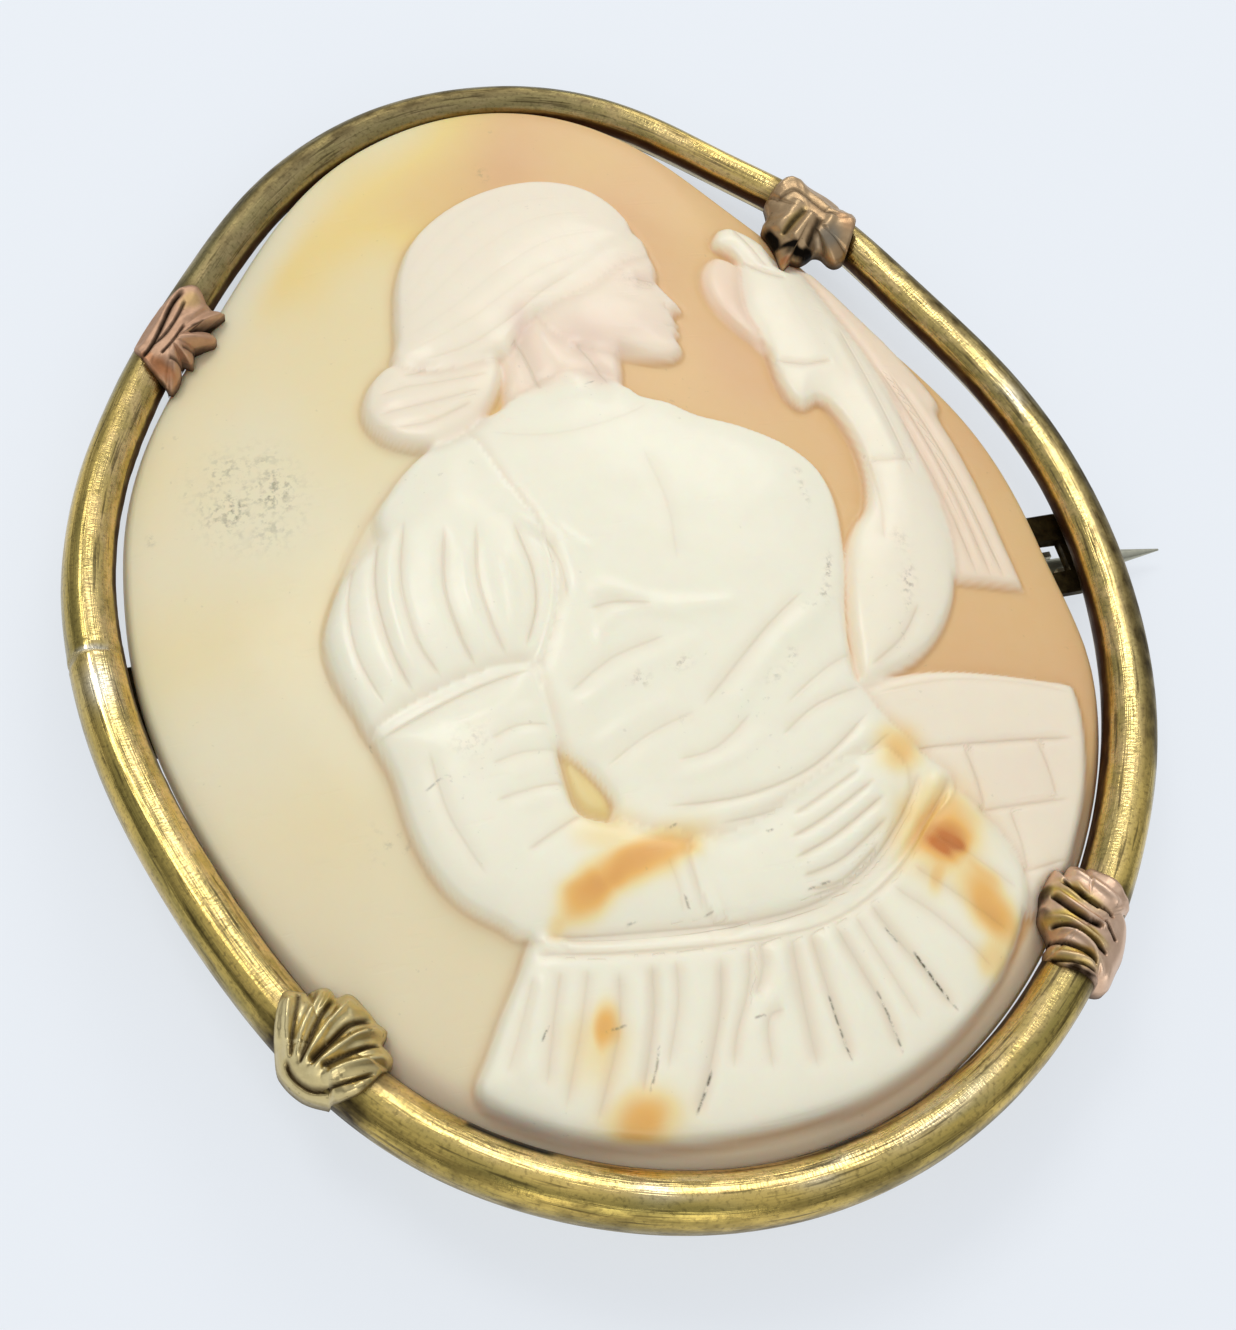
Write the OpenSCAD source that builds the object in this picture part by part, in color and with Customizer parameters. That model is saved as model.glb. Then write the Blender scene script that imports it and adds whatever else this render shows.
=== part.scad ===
// Oval cameo brooch: a carved shell held by four scallop claws in a bent tube
// frame, with a hinge, a catch and a straight pin behind it. It lies face up.

/* [Frame] */
// Width over the tube, from side to side
frame_w = 49.9; // [44:0.1:56]
// Height over the tube, from the bottom to the top
frame_h = 61.5; // [55:0.1:70]
// Width of the tube seen from the front
tube_w = 2.5; // [2:0.1:3.2]
// Height of the tube from its back to its front
tube_h = 3; // [2.6:0.1:3.6]

/* [Shell] */
// Gap between the shell and the tube at the top and the bottom
shell_gap = 0.15; // [0.1:0.05:0.6]
// How much narrower the shell is than the opening of the frame
shell_slack = 1.4; // [1.2:0.1:2.4]
// How far the shell sits left of the middle of the frame
shell_shift = 0.45; // [0:0.05:0.6]
// How far the shell's back lies in front of the back of the tube
shell_lift = 0.4; // [0.3:0.05:0.6]
// Thickness of the shell's upright outer edge
edge_t = 0.6; // [0.4:0.1:0.9]
// Height of the bevel round the face
bevel_h = 0.8; // [0.4:0.1:1]
// Width of the bevel round the face
bevel_w = 1.1; // [0.6:0.1:2]
// Rise of the domed ground from the bevel to the middle
dome_h = 3.2; // [2:0.1:5]
// Depth of the hollow behind the shell
hollow_d = 2.4; // [1:0.1:3.2]
// Height of the carving over the ground
relief_h = 1.6; // [0.8:0.1:2.4]
// Width of the steep flank round the carving
flank_w = 0.9; // [0.6:0.1:1.6]

/* [Claws] */
// Length of a claw from its beak to its tip
claw_l = 4.8; // [4:0.1:6]
// Height of a claw's crown over the tube
claw_rise = 0.75; // [0.4:0.05:1.2]
// How far a claw's tip dips towards the shell
claw_dip = 0.35; // [0.2:0.05:0.6]
// Least thickness of a claw at its tip
claw_tip_t = 0.3; // [0.2:0.05:0.5]
// How far a claw's outer end sits in from the outer side of the tube
claw_inset = 0.25; // [0.1:0.05:0.5]
// Height of the ribs on a claw
rib_h = 0.22; // [0.1:0.02:0.4]
// Number of ribs on a claw
rib_count = 5; // [3:1:7]
// Clear height between a claw and the shell
claw_gap = 0.12; // [0.08:0.02:0.4]

/* [Pin and fittings] */
// Radius of the pin
pin_r = 0.45; // [0.35:0.05:0.6]
// How much thinner the free end of the pin is in radius, past the catch
point_step = 0.03; // [0.01:0.01:0.06]
// Length of the neck where the pin gets thinner, past the catch
neck_l = 0.8; // [0.7:0.05:1]
// Length of the pin's tapered point
point_l = 2.6; // [1.5:0.1:3.2]
// How far the point reaches past the frame
point_out = 3.9; // [3.2:0.1:6]
// How far the pin lies below the middle of the frame
pin_low = 2.2; // [0:0.1:6]
// How much thicker the pin's barrel is than the pin, in radius
barrel_wall = 0.25; // [0.15:0.01:0.28]
// Length of the pin's barrel in the hinge
barrel_l = 1.4; // [1:0.1:2.4]
// Clear height between the barrel and its base plate
barrel_clear = 0.3; // [0.2:0.05:1]
// Radius of the rivet ends of the barrel
rivet_r = 0.3; // [0.2:0.05:0.45]
// Thickness of each ear of the hinge
ear_t = 0.7; // [0.4:0.1:1.2]
// Clearance between the pin and the hook of the catch
hook_play = 0.15; // [0.1:0.01:0.25]
// Wall of the catch's hook
hook_t = 0.3; // [0.2:0.05:0.4]
// Length of the catch's hook along the pin
hook_l = 2.2; // [1.4:0.1:3]
// How far the hook's lip reaches past the middle of the pin
hook_lip = 0.1; // [0:0.02:0.2]
// Thickness of the two base plates
plate_t = 0.6; // [0.4:0.1:0.8]
// Width of the two base plates across the pin
plate_w = 4.5; // [4:0.1:7]
// How far the base plates reach in from the tube
plate_l = 2.4; // [2.3:0.1:4]
// Clearance between the shell and the plates, and in the hinge
small_gap = 0.1; // [0.06:0.02:0.2]

/* [Hidden] */
$fn = 32;
tiny = 0.01;

// The frame was bent by hand. Each row flattens the oval at one place.
// Columns: angle, depth as a share of the frame's half width, spread in degrees.
frame_bends = [
    [36, 0.060, 21],
    [62, 0.048, 12],
    [132, 0.065, 22],
    [-150, 0.017, 18],
    [-122, -0.010, 13],
    [-28, -0.017, 18]];
// The shell follows the frame, and it has flats and a bulge of its own.
shell_bends = concat(frame_bends, [
    [46, 0.048, 26],
    [117, 0.02, 24],
    [-38, -0.034, 20],
    [-122, 0.006, 25]]);

// Section of the tube, from its outer side over the front to the inner side.
// Columns: outward and forward, as shares of the tube's half width and half height.
tube_section = [
    [1, -0.05],
    [0.92, 0.42],
    [0.62, 0.8],
    [0.12, 1],
    [-0.45, 0.96],
    [-0.85, 0.68],
    [-1, 0.2],
    [-0.97, -0.6],
    [-0.62, -1],
    [0.35, -1],
    [0.84, -0.7]];

// Claws, one row each.
// Columns: angle on the frame, swing of the claw from square in degrees.
claws = [
    [137, -8],
    [50, 4],
    [-131, 10],
    [-53.5, 6]];

// Rounded forms of the figure, each a bar between two round ends.
// Columns: x, y and radius of one end, x, y and radius of the other, height.
// x and radii are shares of the shell's half width, y of its half height, and
// the height is a share of the carving's height.
forms = [
    [0.03, 0.57, 0.28, -0.07, 0.49, 0.245, 1],
    [0.13, 0.45, 0.15, 0.15, 0.41, 0.12, 0.85],
    [-0.3, 0.33, 0.13, -0.2, 0.32, 0.125, 0.95],
    [0.04, 0.4, 0.12, -0.01, 0.23, 0.155, 0.75],
    [0.15, 0.085, 0.21, -0.15, 0.08, 0.21, 0.95],
    [-0.01, -0.02, 0.35, 0.12, -0.26, 0.32, 1],
    [0.24, 0, 0.26, 0.19, -0.465, 0.27, 0.9],
    [-0.33, -0.015, 0.29, -0.39, -0.14, 0.21, 1],
    [-0.38, -0.27, 0.175, -0.34, -0.475, 0.165, 0.95],
    [-0.31, -0.51, 0.13, 0.13, -0.57, 0.125, 0.95],
    [0.2, -0.56, 0.1, 0.37, -0.535, 0.07, 0.9],
    [0.42, -0.155, 0.19, 0.595, -0.105, 0.18, 0.9],
    [0.64, -0.03, 0.14, 0.59, 0.31, 0.11, 0.85],
    [0.585, 0.345, 0.1, 0.525, 0.595, 0.055, 0.75],
    [0.46, 0.525, 0.055, 0.47, 0.435, 0.045, 0.6]];

// Flat sheets of the carving: skirt, wall and drape. Each is a height and its
// corners, anticlockwise, in the same shares.
sheets = [
    [0.75, [[-0.55, -0.81], [-0.36, -1], [0.68, -1], [0.67, -0.54], [-0.37, -0.6]]],
    [0.45, [[0.38, -0.32], [0.38, -0.9], [0.95, -0.9], [0.93, -0.355]]],
    [0.5, [[0.54, 0.56], [0.72, -0.155], [0.885, -0.175], [0.86, 0.19], [0.7, 0.56]]]];

face_cells = 60;
back_cells = face_cells / 2;
tube_stations = 84;
claw_columns = 8 * rib_count;
claw_rings = [0.3, 0.55, 0.8, 1];
// The ribs fill this angle of a claw's fan, and each rib ends this share further
// out than a groove.
fan_angle = 225;
rib_flare = 0.04;
// A claw's crown falls away to its rim like a cosine that ends at this angle.
crown_angle = 84;
// The carving ends at this share of a claw's length from the claw's middle.
claw_free = 0.58;
// Corner radius of the base plates
plate_round = 0.5;

half_w = frame_w / 2;
half_h = frame_h / 2;
shell_half_w = half_w - tube_w - shell_slack / 2;
shell_half_h = half_h - tube_w - shell_gap;
tube_back = -tube_h / 2;
inner_x = half_w - tube_w;
shell_back = tube_back + shell_lift;
plate_top = shell_back - small_gap;
plate_low = plate_top - plate_t;
edge_z = shell_back + edge_t;
ground_z = edge_z + bevel_h;
bevel_share = bevel_w / shell_half_w;
claw_base = tube_h / 2;
claw_beak = 0.21 * claw_l;
claw_over = claw_beak + (claw_l - claw_beak) * (1 + rib_flare) + claw_inset - tube_w;
claw_under = dome_z(1 - claw_over / shell_half_w) + claw_gap;
hook_r = pin_r + hook_play;
foot_r = hook_r + hook_t;
barrel_r = pin_r + barrel_wall;
pin_y = -pin_low;
pin_z = plate_low - barrel_r - barrel_clear;
hinge_x = -inner_x + plate_l / 2;
catch_x = inner_x - (hook_l - tube_w / 2) / 2;
point_r = pin_r - point_step;
point_x = half_w + point_out;

function total(v, i = 0) = i < len(v) ? v[i] + total(v, i + 1) : 0;
function turned(t) = t - 360 * round(t / 360);
function bend_at(t, row) = row[1] * exp(-pow(turned(t - row[0]) / row[2], 2));
function oval_r(t, a, b, bends) =
    a * b / norm([b * cos(t), a * sin(t)]) - a * total([for (row = bends) bend_at(t, row)]);
function frame_at(t) = oval_r(t, half_w, half_h, frame_bends) * [cos(t), sin(t)];
function frame_out(t) =
    let (d = frame_at(t + 1) - frame_at(t - 1))
    [d.y, -d.x] / norm(d);

// Heights of the shell, where r is 1 on its outline and 0 in its middle.
function dome_z(r) = ground_z + dome_h * (1 - pow(min(1, r / (1 - bevel_share)), 2));
function bevel_z(r) = edge_z + bevel_h * (1 - r) / bevel_share;
function smooth(t) = let (s = min(1, max(0, t))) s * s * (3 - 2 * s);
function scaled(x, y) = [x * shell_half_w, y * shell_half_h];
function bar_inside(p, a, b, ra, rb) =
    let (d = b - a, s = min(1, max(0, (p - a) * d / (d * d))))
    let (r = ra + s * (rb - ra), off = norm(p - a - s * d))
    [r - off, off / r];
function form_z(p, f) =
    let (ra = f[2] * shell_half_w, rb = f[5] * shell_half_w)
    let (in = bar_inside(p, scaled(f[0], f[1]), scaled(f[3], f[4]), ra, rb))
    in[0] <= 0 ? 0 : f[6] * smooth(in[0] / flank_w) * (1 - 0.3 * in[1] * in[1]);
function side_inside(p, a, b) =
    let (d = b - a, q = p - a)
    (d.x * q.y - d.y * q.x) / norm(d);
function sheet_z(p, sheet) =
    let (c = [for (v = sheet[1]) scaled(v[0], v[1])], n = len(c))
    let (in = min([for (i = [0 : n - 1]) side_inside(p, c[i], c[(i + 1) % n])]))
    in <= 0 ? 0 : sheet[0] * smooth(in / flank_w);
// The carving sinks into the ground at the bevel and under each claw.
function claw_clear(p) =
    min([for (c = claws) norm(p + [-shell_shift, 0] - frame_at(c[0]) + frame_out(c[0]) * claw_l / 2)]);
function carving_z(p, r) =
    let (free = smooth((1 - bevel_share - r) * shell_half_w / flank_w))
    let (clear = smooth((claw_clear(p) - claw_l * claw_free) / flank_w))
    free * clear == 0 ? 0 : relief_h * free * clear
        * max(concat([for (f = forms) form_z(p, f)], [for (s = sheets) sheet_z(p, s)]));

// A square grid is laid on the oval. Its outer lines run along the outline and
// the bevel, and towards the middle it eases into nearly square cells.
function line_at(i, n) =
    i == 0 ? -1 : i == n ? 1 : (1 - bevel_share) * (2 * (i - 1) / (n - 2) - 1);
function ring_angle(u, v) =
    u == 0 && v == 0 ? 0
    : abs(u) >= abs(v) ? (u > 0 ? 0 : 180) + 45 * v / u
    : (v > 0 ? 90 : 270) - 45 * u / v;
function disc_at(u, v) =
    let (r = max(abs(u), abs(v)), q = ring_angle(u, v), w = smooth((r - 0.5) / (0.5 - bevel_share)))
    w * r * [cos(q), sin(q)] + (1 - w) * [u * sqrt(1 - v * v / 2), v * sqrt(1 - u * u / 2)];
function shell_at(d) =
    let (t = atan2(shell_half_h * d.y, shell_half_w * d.x))
    norm(d) * oval_r(t, shell_half_w, shell_half_h, shell_bends) * [cos(t), sin(t)];
function face_point(d) =
    let (r = norm(d), p = shell_at(d))
    let (z = r > 1 - bevel_share + tiny / 9 ? bevel_z(r) : dome_z(r) + carving_z(p, r))
    [p.x, p.y, z];
function back_point(d) =
    let (p = shell_at(d), hollow = 1 - pow(min(1, norm(d) / (1 - bevel_share)), 2))
    [p.x, p.y, shell_back + hollow_d * hollow];
function grid_index(i, j, n) = i * (n + 1) + j;
function loop_index(k, n) =
    k < n ? grid_index(k, 0, n)
    : k < 2 * n ? grid_index(n, k - n, n)
    : k < 3 * n ? grid_index(3 * n - k, n, n)
    : grid_index(0, (4 * n - k) % (4 * n), n);
// Each cell is cut along the diagonal that points at the middle of the grid.
function grid_faces(n, first, up) =
    [for (i = [0 : n - 1], j = [0 : n - 1], half = [0, 1])
        let (a = first + grid_index(i, j, n), b = a + n + 1, c = b + 1, d = a + 1)
        let (cut = (i < n / 2) == (j < n / 2))
        let (f = cut ? (half == 0 ? [a, d, c] : [a, c, b]) : (half == 0 ? [a, d, b] : [b, d, c]))
        up ? f : [f[0], f[2], f[1]]];
function wall_faces(n, first) =
    [for (k = [0 : 2 * n - 1], part = [0 : 2])
        let (t0 = loop_index(2 * k, n), t1 = loop_index(2 * k + 1, n))
        let (t2 = loop_index((2 * k + 2) % (4 * n), n), m = n / 2)
        let (b0 = first + loop_index(k, m), b1 = first + loop_index((k + 1) % (4 * m), m))
        part == 0 ? [t0, t1, b0] : part == 1 ? [t1, t2, b1] : [t1, b1, b0]];

// Points of the tube, one ring of them for each station.
function tube_point(t, s) =
    let (out = frame_out(t), p = frame_at(t) + out * (s[0] - 1) * tube_w / 2)
    [p.x, p.y, s[1] * tube_h / 2];
tube_points = [for (i = [0 : tube_stations - 1], s = tube_section)
    tube_point(i * 360 / tube_stations, s)];
tube_faces = [for (i = [0 : tube_stations - 1], k = [0 : len(tube_section) - 1], half = [0, 1])
    let (m = len(tube_section), i2 = (i + 1) % tube_stations, k2 = (k + 1) % m)
    let (a = i * m + k, b = i * m + k2, c = i2 * m + k2, d = i2 * m + k)
    half == 0 ? [a, b, c] : [a, c, d]];

// The brooch lies on the hinge and on the top of the tube, so it leans back by
// the lean angle. Its lowest point is at height 0.
foot_y = pin_y + barrel_l / 2 + small_gap + ear_t;
foot_z = pin_z - foot_r;
rest_y = max([for (p = tube_points) if (p.z < tube_back * 0.99) p.y]);
lean = -atan2(tube_back - foot_z, rest_y - foot_y);
laid_y = [for (p = tube_points) p.y * cos(lean) - p.z * sin(lean)];
laid_z = -foot_y * sin(lean) - foot_z * cos(lean);
tube_x = [for (p = tube_points) p.x];

module laid() {
    mid_x = (min(tube_x) + point_x) / 2;
    mid_y = (min(laid_y) + max(laid_y)) / 2;
    translate([-mid_x, -mid_y, laid_z])
        rotate([lean, 0, 0])
            children();
}

module shell_cameo() {
    lines = [for (i = [0 : face_cells]) line_at(i, face_cells)];
    back_lines = [for (i = [0 : back_cells]) line_at(i, back_cells)];
    face = [for (u = lines, v = lines) face_point(disc_at(u, v))];
    back = [for (u = back_lines, v = back_lines) back_point(disc_at(u, v))];
    color([0.9, 0.8, 0.64])
        laid()
            translate([-shell_shift, 0, 0])
                polyhedron(concat(face, back), concat(
                    grid_faces(face_cells, 0, true),
                    grid_faces(back_cells, len(face), false),
                    wall_faces(face_cells, len(face))));
}

// One claw: a scallop whose ribs spread from a beak over the middle of the
// tube. Its outer side is a smooth rim, and its fan reaches over the shell.
function claw_reach(q) = claw_l / 2 + (claw_l / 2 - claw_beak) * cos(q);
function claw_rib(q) = smooth((fan_angle / 2 + 5 - abs(q)) / 20) * cos(rib_count * q * 360 / fan_angle);
function claw_top(s, q) = max(
    claw_under + claw_tip_t,
    claw_base + claw_rise * cos(crown_angle * s) - claw_dip * pow(max(0, s * cos(q)), 2))
    + rib_h * min(1, 2 * s) * claw_rib(q) / 2;
function claw_point(s, q, up) =
    let (r = s * claw_reach(q) * (1 + rib_flare * claw_rib(q)), x = claw_beak + r * cos(q))
    let (low = x < tube_w * 0.8 ? claw_base - tube_h * 0.6 : claw_under)
    [x, r * sin(q), up ? claw_top(s, q) : low];
function claw_points(up) = concat(
    [claw_point(0, 0, up)],
    [for (s = claw_rings, c = [1 : claw_columns]) claw_point(s, c * 360 / claw_columns - 180, up)]);
function claw_faces(up, first) =
    let (n = claw_columns, f = concat(
        [for (c = [0 : n - 1]) [0, 1 + (c + 1) % n, 1 + c]],
        [for (k = [0 : len(claw_rings) - 2], c = [0 : n - 1], half = [0, 1])
            let (a = 1 + k * n + c, d = 1 + k * n + (c + 1) % n)
            half == 0 ? [a, d, d + n] : [a, d + n, a + n]]))
    [for (t = f) [first, first, first] + (up ? t : [t[0], t[2], t[1]])];
module claw() {
    top = claw_points(true);
    n = claw_columns;
    rim_first = len(top) - n;
    polyhedron(concat(top, claw_points(false)), concat(
        claw_faces(true, 0),
        claw_faces(false, len(top)),
        [for (c = [0 : n - 1], half = [0, 1])
            let (t0 = rim_first + c, t1 = rim_first + (c + 1) % n, low = len(top))
            half == 0 ? [t0, t1, low + t1] : [t0, low + t1, low + t0]]));
}

// Places what is drawn along +X from the outer side of the tube inwards.
module on_tube(t, swing) {
    out = frame_out(t);
    place = frame_at(t) - out * claw_inset;
    translate([place.x, place.y, 0])
        rotate([0, 0, atan2(-out.y, -out.x) + swing])
            children();
}

// A base plate with rounded corners, soldered under the tube.
module base_plate(x0, x1) {
    hull()
        for (x = [x0 + plate_round, x1 - plate_round], side = [-1, 1])
            translate([x, pin_y + side * (plate_w / 2 - plate_round), plate_low])
                cylinder(r = plate_round, h = plate_t, $fn = 16);
}

module ear(side) {
    y = pin_y + side * (barrel_l / 2 + small_gap + ear_t / 2);
    difference() {
        hull() {
            translate([hinge_x, y, pin_z])
                rotate([90, 0, 0])
                    cylinder(r = foot_r, h = ear_t, center = true);
            translate([hinge_x, y, plate_low])
                cube([foot_r * 2.2, ear_t, tiny * 2], center = true);
        }
        translate([hinge_x, y, pin_z])
            rotate([90, 0, 0])
                cylinder(r = rivet_r + small_gap, h = ear_t * 2, center = true);
    }
}

// The hook of the catch, open on its upper front side.
module hook() {
    translate([catch_x, pin_y, pin_z])
        rotate([90, 0, 90])
            linear_extrude(hook_l, center = true) {
                difference() {
                    circle(r = foot_r);
                    circle(r = hook_r);
                    translate([0, hook_lip])
                        square(foot_r * 2);
                    translate([-hook_r, 0])
                        square([hook_r, foot_r * 2]);
                }
                translate([-foot_r, 0])
                    square([hook_t, plate_low - pin_z + tiny]);
            }
}

module rim() {
    color([0.72, 0.58, 0.25])
        laid() {
            polyhedron(tube_points, tube_faces);
            for (c = claws)
                on_tube(c[0], c[1])
                    claw();
            base_plate(-inner_x - tube_w / 2, -inner_x + plate_l);
            base_plate(inner_x - plate_l, inner_x + tube_w / 2);
            for (side = [-1, 1])
                ear(side);
            hook();
        }
}

// The pin is turned in one piece, from the hinge to its point.
module pin_stem() {
    free_x = inner_x + tube_w / 2 + 3 * small_gap - hinge_x;
    taper_x = point_x - point_l - hinge_x;
    tip_x = point_x - hinge_x;
    color([0.62, 0.62, 0.56])
        laid()
            translate([hinge_x, pin_y, pin_z]) {
                rotate([90, 0, 0]) {
                    cylinder(r = barrel_r, h = barrel_l, center = true);
                    cylinder(r = rivet_r, h = barrel_l + 2 * (small_gap + ear_t), center = true);
                }
                rotate([0, 90, 0])
                    rotate_extrude()
                        polygon([
                            [0, 0],
                            [pin_r, 0],
                            [pin_r, free_x - neck_l],
                            [point_r, free_x],
                            [point_r, taper_x],
                            [point_r / 8, tip_x],
                            [0, tip_x]]);
            }
}

shell_cameo();
rim();
pin_stem();
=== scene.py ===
import math

import bpy
import numpy as np
from bpy.props import FloatProperty, FloatVectorProperty, IntProperty, PointerProperty
from mathutils import Matrix, Vector


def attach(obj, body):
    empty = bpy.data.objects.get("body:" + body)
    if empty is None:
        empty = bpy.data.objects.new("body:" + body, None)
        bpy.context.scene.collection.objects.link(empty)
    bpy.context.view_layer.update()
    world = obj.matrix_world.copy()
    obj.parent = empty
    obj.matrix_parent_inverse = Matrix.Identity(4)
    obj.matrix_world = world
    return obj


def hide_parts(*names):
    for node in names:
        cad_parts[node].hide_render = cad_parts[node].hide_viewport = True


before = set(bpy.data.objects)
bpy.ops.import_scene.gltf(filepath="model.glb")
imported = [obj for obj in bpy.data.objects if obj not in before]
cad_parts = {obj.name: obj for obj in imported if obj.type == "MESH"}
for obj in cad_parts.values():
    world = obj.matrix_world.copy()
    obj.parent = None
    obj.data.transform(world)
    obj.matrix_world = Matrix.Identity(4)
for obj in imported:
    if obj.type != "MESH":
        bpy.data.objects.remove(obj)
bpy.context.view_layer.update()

bl_info = {
    "name": "Cameo brooch",
    "version": (1, 0, 0),
    "blender": (4, 5, 0),
    "location": "View3D > Sidebar > Cameo brooch",
    "description": "Dresses a carved shell brooch in a brass tube frame",
    "category": "Add Mesh",
}

MM = 0.001
BODY = "root"

# The frame's own plan, in millimetres, with the middle of the tube at the origin.
HALF_W, HALF_H = 24.95, 30.75
TUBE_W, TUBE_H = 2.5, 3.0
SHELL_HALF_W, SHELL_HALF_H = 21.75, 28.1
SHELL_SHIFT = 0.45
SHELL_BACK = -1.1
EDGE_Z = -0.5
GROUND_Z = 0.3
BEVEL_W = 1.1
BEVEL_SHARE = BEVEL_W / SHELL_HALF_W
ROUNDED_W = 0.28    # the bevel's width where it is only a rounded edge
DOME_H = 3.2
HOLLOW_D = 2.4
# How the brooch lies: it leans back on its hinge and the top of the tube.
LEAN = math.radians(-4.11384)
PLACE = np.array((-1.97013, 0.03038744, 3.64025))
# The carving's outlines are drawn from a point a little off the middle, for this relief.
DRAWN_FROM = np.array((0.2, 0.8))
DRAWN_RELIEF = 1.6
# Distance to a line that is given to every point further away than this.
FAR = 0.6

# Hand-bent places of the oval: angle, depth as a share of half the width, spread.
FRAME_BENDS = (
    (36, 0.060, 21), (62, 0.048, 12), (132, 0.065, 22),
    (-150, 0.017, 18), (-122, -0.010, 13), (-28, -0.017, 18))
SHELL_BENDS = FRAME_BENDS + (
    (46, 0.048, 26), (117, 0.02, 24), (-38, -0.034, 20), (-122, 0.006, 25))
# How much further out than the plain shell the dressed one reaches: angle, millimetres.
REACH = (
    (8, 0.0), (62, 0.0), (72, 0.05), (80, 0.35), (87, 0.5), (94, 0.45), (104, 0.25), (118, 0.18), (130, 0.2),
    (146, 0.2), (160, 0.12), (172, 0.0), (186, 0.10), (245, 0.10), (256, 0.06), (262, 0.05), (270, 0.11),
    (280, 0.26), (290, 0.41), (300, 0.43), (310, 0.31), (320, 0.25), (330, 0.44), (337, 0.64), (343, 0.46),
    (351, 0.08))
# Its edge stands higher at the top: middle angle, half the spread, rise.
RAISED = (88, 40, 1.0)
# On its far side the tube is narrower: middle angle, half the spread, millimetres.
THINNER = (75, 110, 0.28)
# It is also smaller there, as a share of its size at each angle.
SMALLER = (
    (-4, 1.0), (12, 1.0), (28, 0.95), (44, 0.88), (60, 0.80), (92, 0.82), (104, 0.92), (116, 0.97), (160, 1.0))
# And its outer edge stands in by this many millimetres at each angle.
INSET = (
    (-8, 0.0), (12, 0.32), (28, 0.36), (44, 0.36), (60, 0.32), (76, 0.38), (92, 0.28), (108, 0.38), (120, 0.25),
    (132, 0.18), (142, 0.12), (150, 0.28), (160, 0.18), (172, 0.0))


# ---------------------------------------------------------------- plain shapes

def lean(x, y, z):
    """A direction of the frame's plan, turned as the brooch lies."""
    c, s = math.cos(LEAN), math.sin(LEAN)
    return x, y * c - z * s, y * s + z * c


def laid(points):
    """Points of the frame's plan, in millimetres, put where the brooch lies."""
    return (np.stack(lean(*np.asarray(points, float).T), 1) + PLACE) * MM


def smooth(t):
    """Rises softly from 0 to 1."""
    t = np.clip(t, 0.0, 1.0)
    return t * t * (3 - 2 * t)


def rounded(t):
    """Rises like a quarter circle from 0 to 1."""
    return np.sqrt(1 - (1 - np.clip(t, 0.0, 1.0)) ** 2)


def bell(x, width):
    """1 at 0, and falls off to both sides."""
    return np.exp(-(x / width) ** 2)


def turned_from(t, middle):
    """Angles in degrees counted from a middle one, from -180 to 180."""
    return (t - middle + 180) % 360 - 180


def window(t, middle, half, soft):
    """1 round an angle in degrees and 0 further away than half."""
    return smooth((half - np.abs(turned_from(t, middle))) / soft)


def by_angle(t, table):
    """A table of angles and values read at angles t, with its corners rounded off."""
    angles, values = np.array(table).T
    return sum(np.interp(t + off, angles, values, period=360) for off in (-3, 0, 3)) / 3


def angle_of(plan):
    return np.degrees(np.arctan2(plan[:, 1], plan[:, 0]))


def oval_r(t, a, b, bends):
    """Radius of the bent oval at angle t in degrees."""
    r = a * b / np.hypot(b * np.cos(np.radians(t)), a * np.sin(np.radians(t)))
    for angle, depth, spread in bends:
        r = r - a * depth * bell(turned_from(t, angle), spread)
    return r


def frame_at(t):
    """Middle of the tube's outer edge at angle t."""
    r = oval_r(t, HALF_W, HALF_H, FRAME_BENDS)
    return np.stack([r * np.cos(np.radians(t)), r * np.sin(np.radians(t))], -1)


def frame_out(t):
    """Direction that points out of the frame at angle t."""
    d = frame_at(t + 1) - frame_at(t - 1)
    return np.stack([d[..., 1], -d[..., 0]], -1) / np.linalg.norm(d, axis=-1, keepdims=True)


def curve(points, closed, steps=6):
    """A smooth line through the points."""
    p = np.asarray(points, float)
    n = len(p)
    line = []
    for i in range(n if closed else n - 1):
        if closed:
            a, b, c, d = (p[(i + k) % n] for k in (-1, 0, 1, 2))
        else:
            a, b, c, d = p[max(i - 1, 0)], p[i], p[i + 1], p[min(i + 2, n - 1)]
        for t in np.arange(steps) / steps:
            line.append(0.5 * (2 * b + (c - a) * t + (2 * a - 5 * b + 4 * c - d) * t ** 2
                               + (3 * b - a - 3 * c + d) * t ** 3))
    if not closed:
        line.append(p[-1])
    return np.array(line)


def to_line(P, line, closed=False):
    """Distance from each point to a line, the side that it is on, and how far along it, from 0 to 1."""
    ends = np.roll(line, -1, 0) if closed else line[1:]
    best, side, along = np.full(len(P), 1e9), np.ones(len(P)), np.zeros(len(P))
    for i, (a, b) in enumerate(zip(line, ends)):
        d = b - a
        s = np.clip(((P - a) @ d) / max(d @ d, 1e-12), 0, 1)
        gap = P - a - s[:, None] * d
        dist = np.hypot(gap[:, 0], gap[:, 1])
        near = dist < best
        best = np.where(near, dist, best)
        side = np.where(near, np.sign(d[0] * gap[:, 1] - d[1] * gap[:, 0]), side)
        along = np.where(near, (i + s) / len(ends), along)
    return best, side, along


def near_line(P, line, reach):
    """Which points lie in the line's box, or within reach of it."""
    return np.all((P > line.min(0) - reach) & (P < line.max(0) + reach), axis=1)


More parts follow.
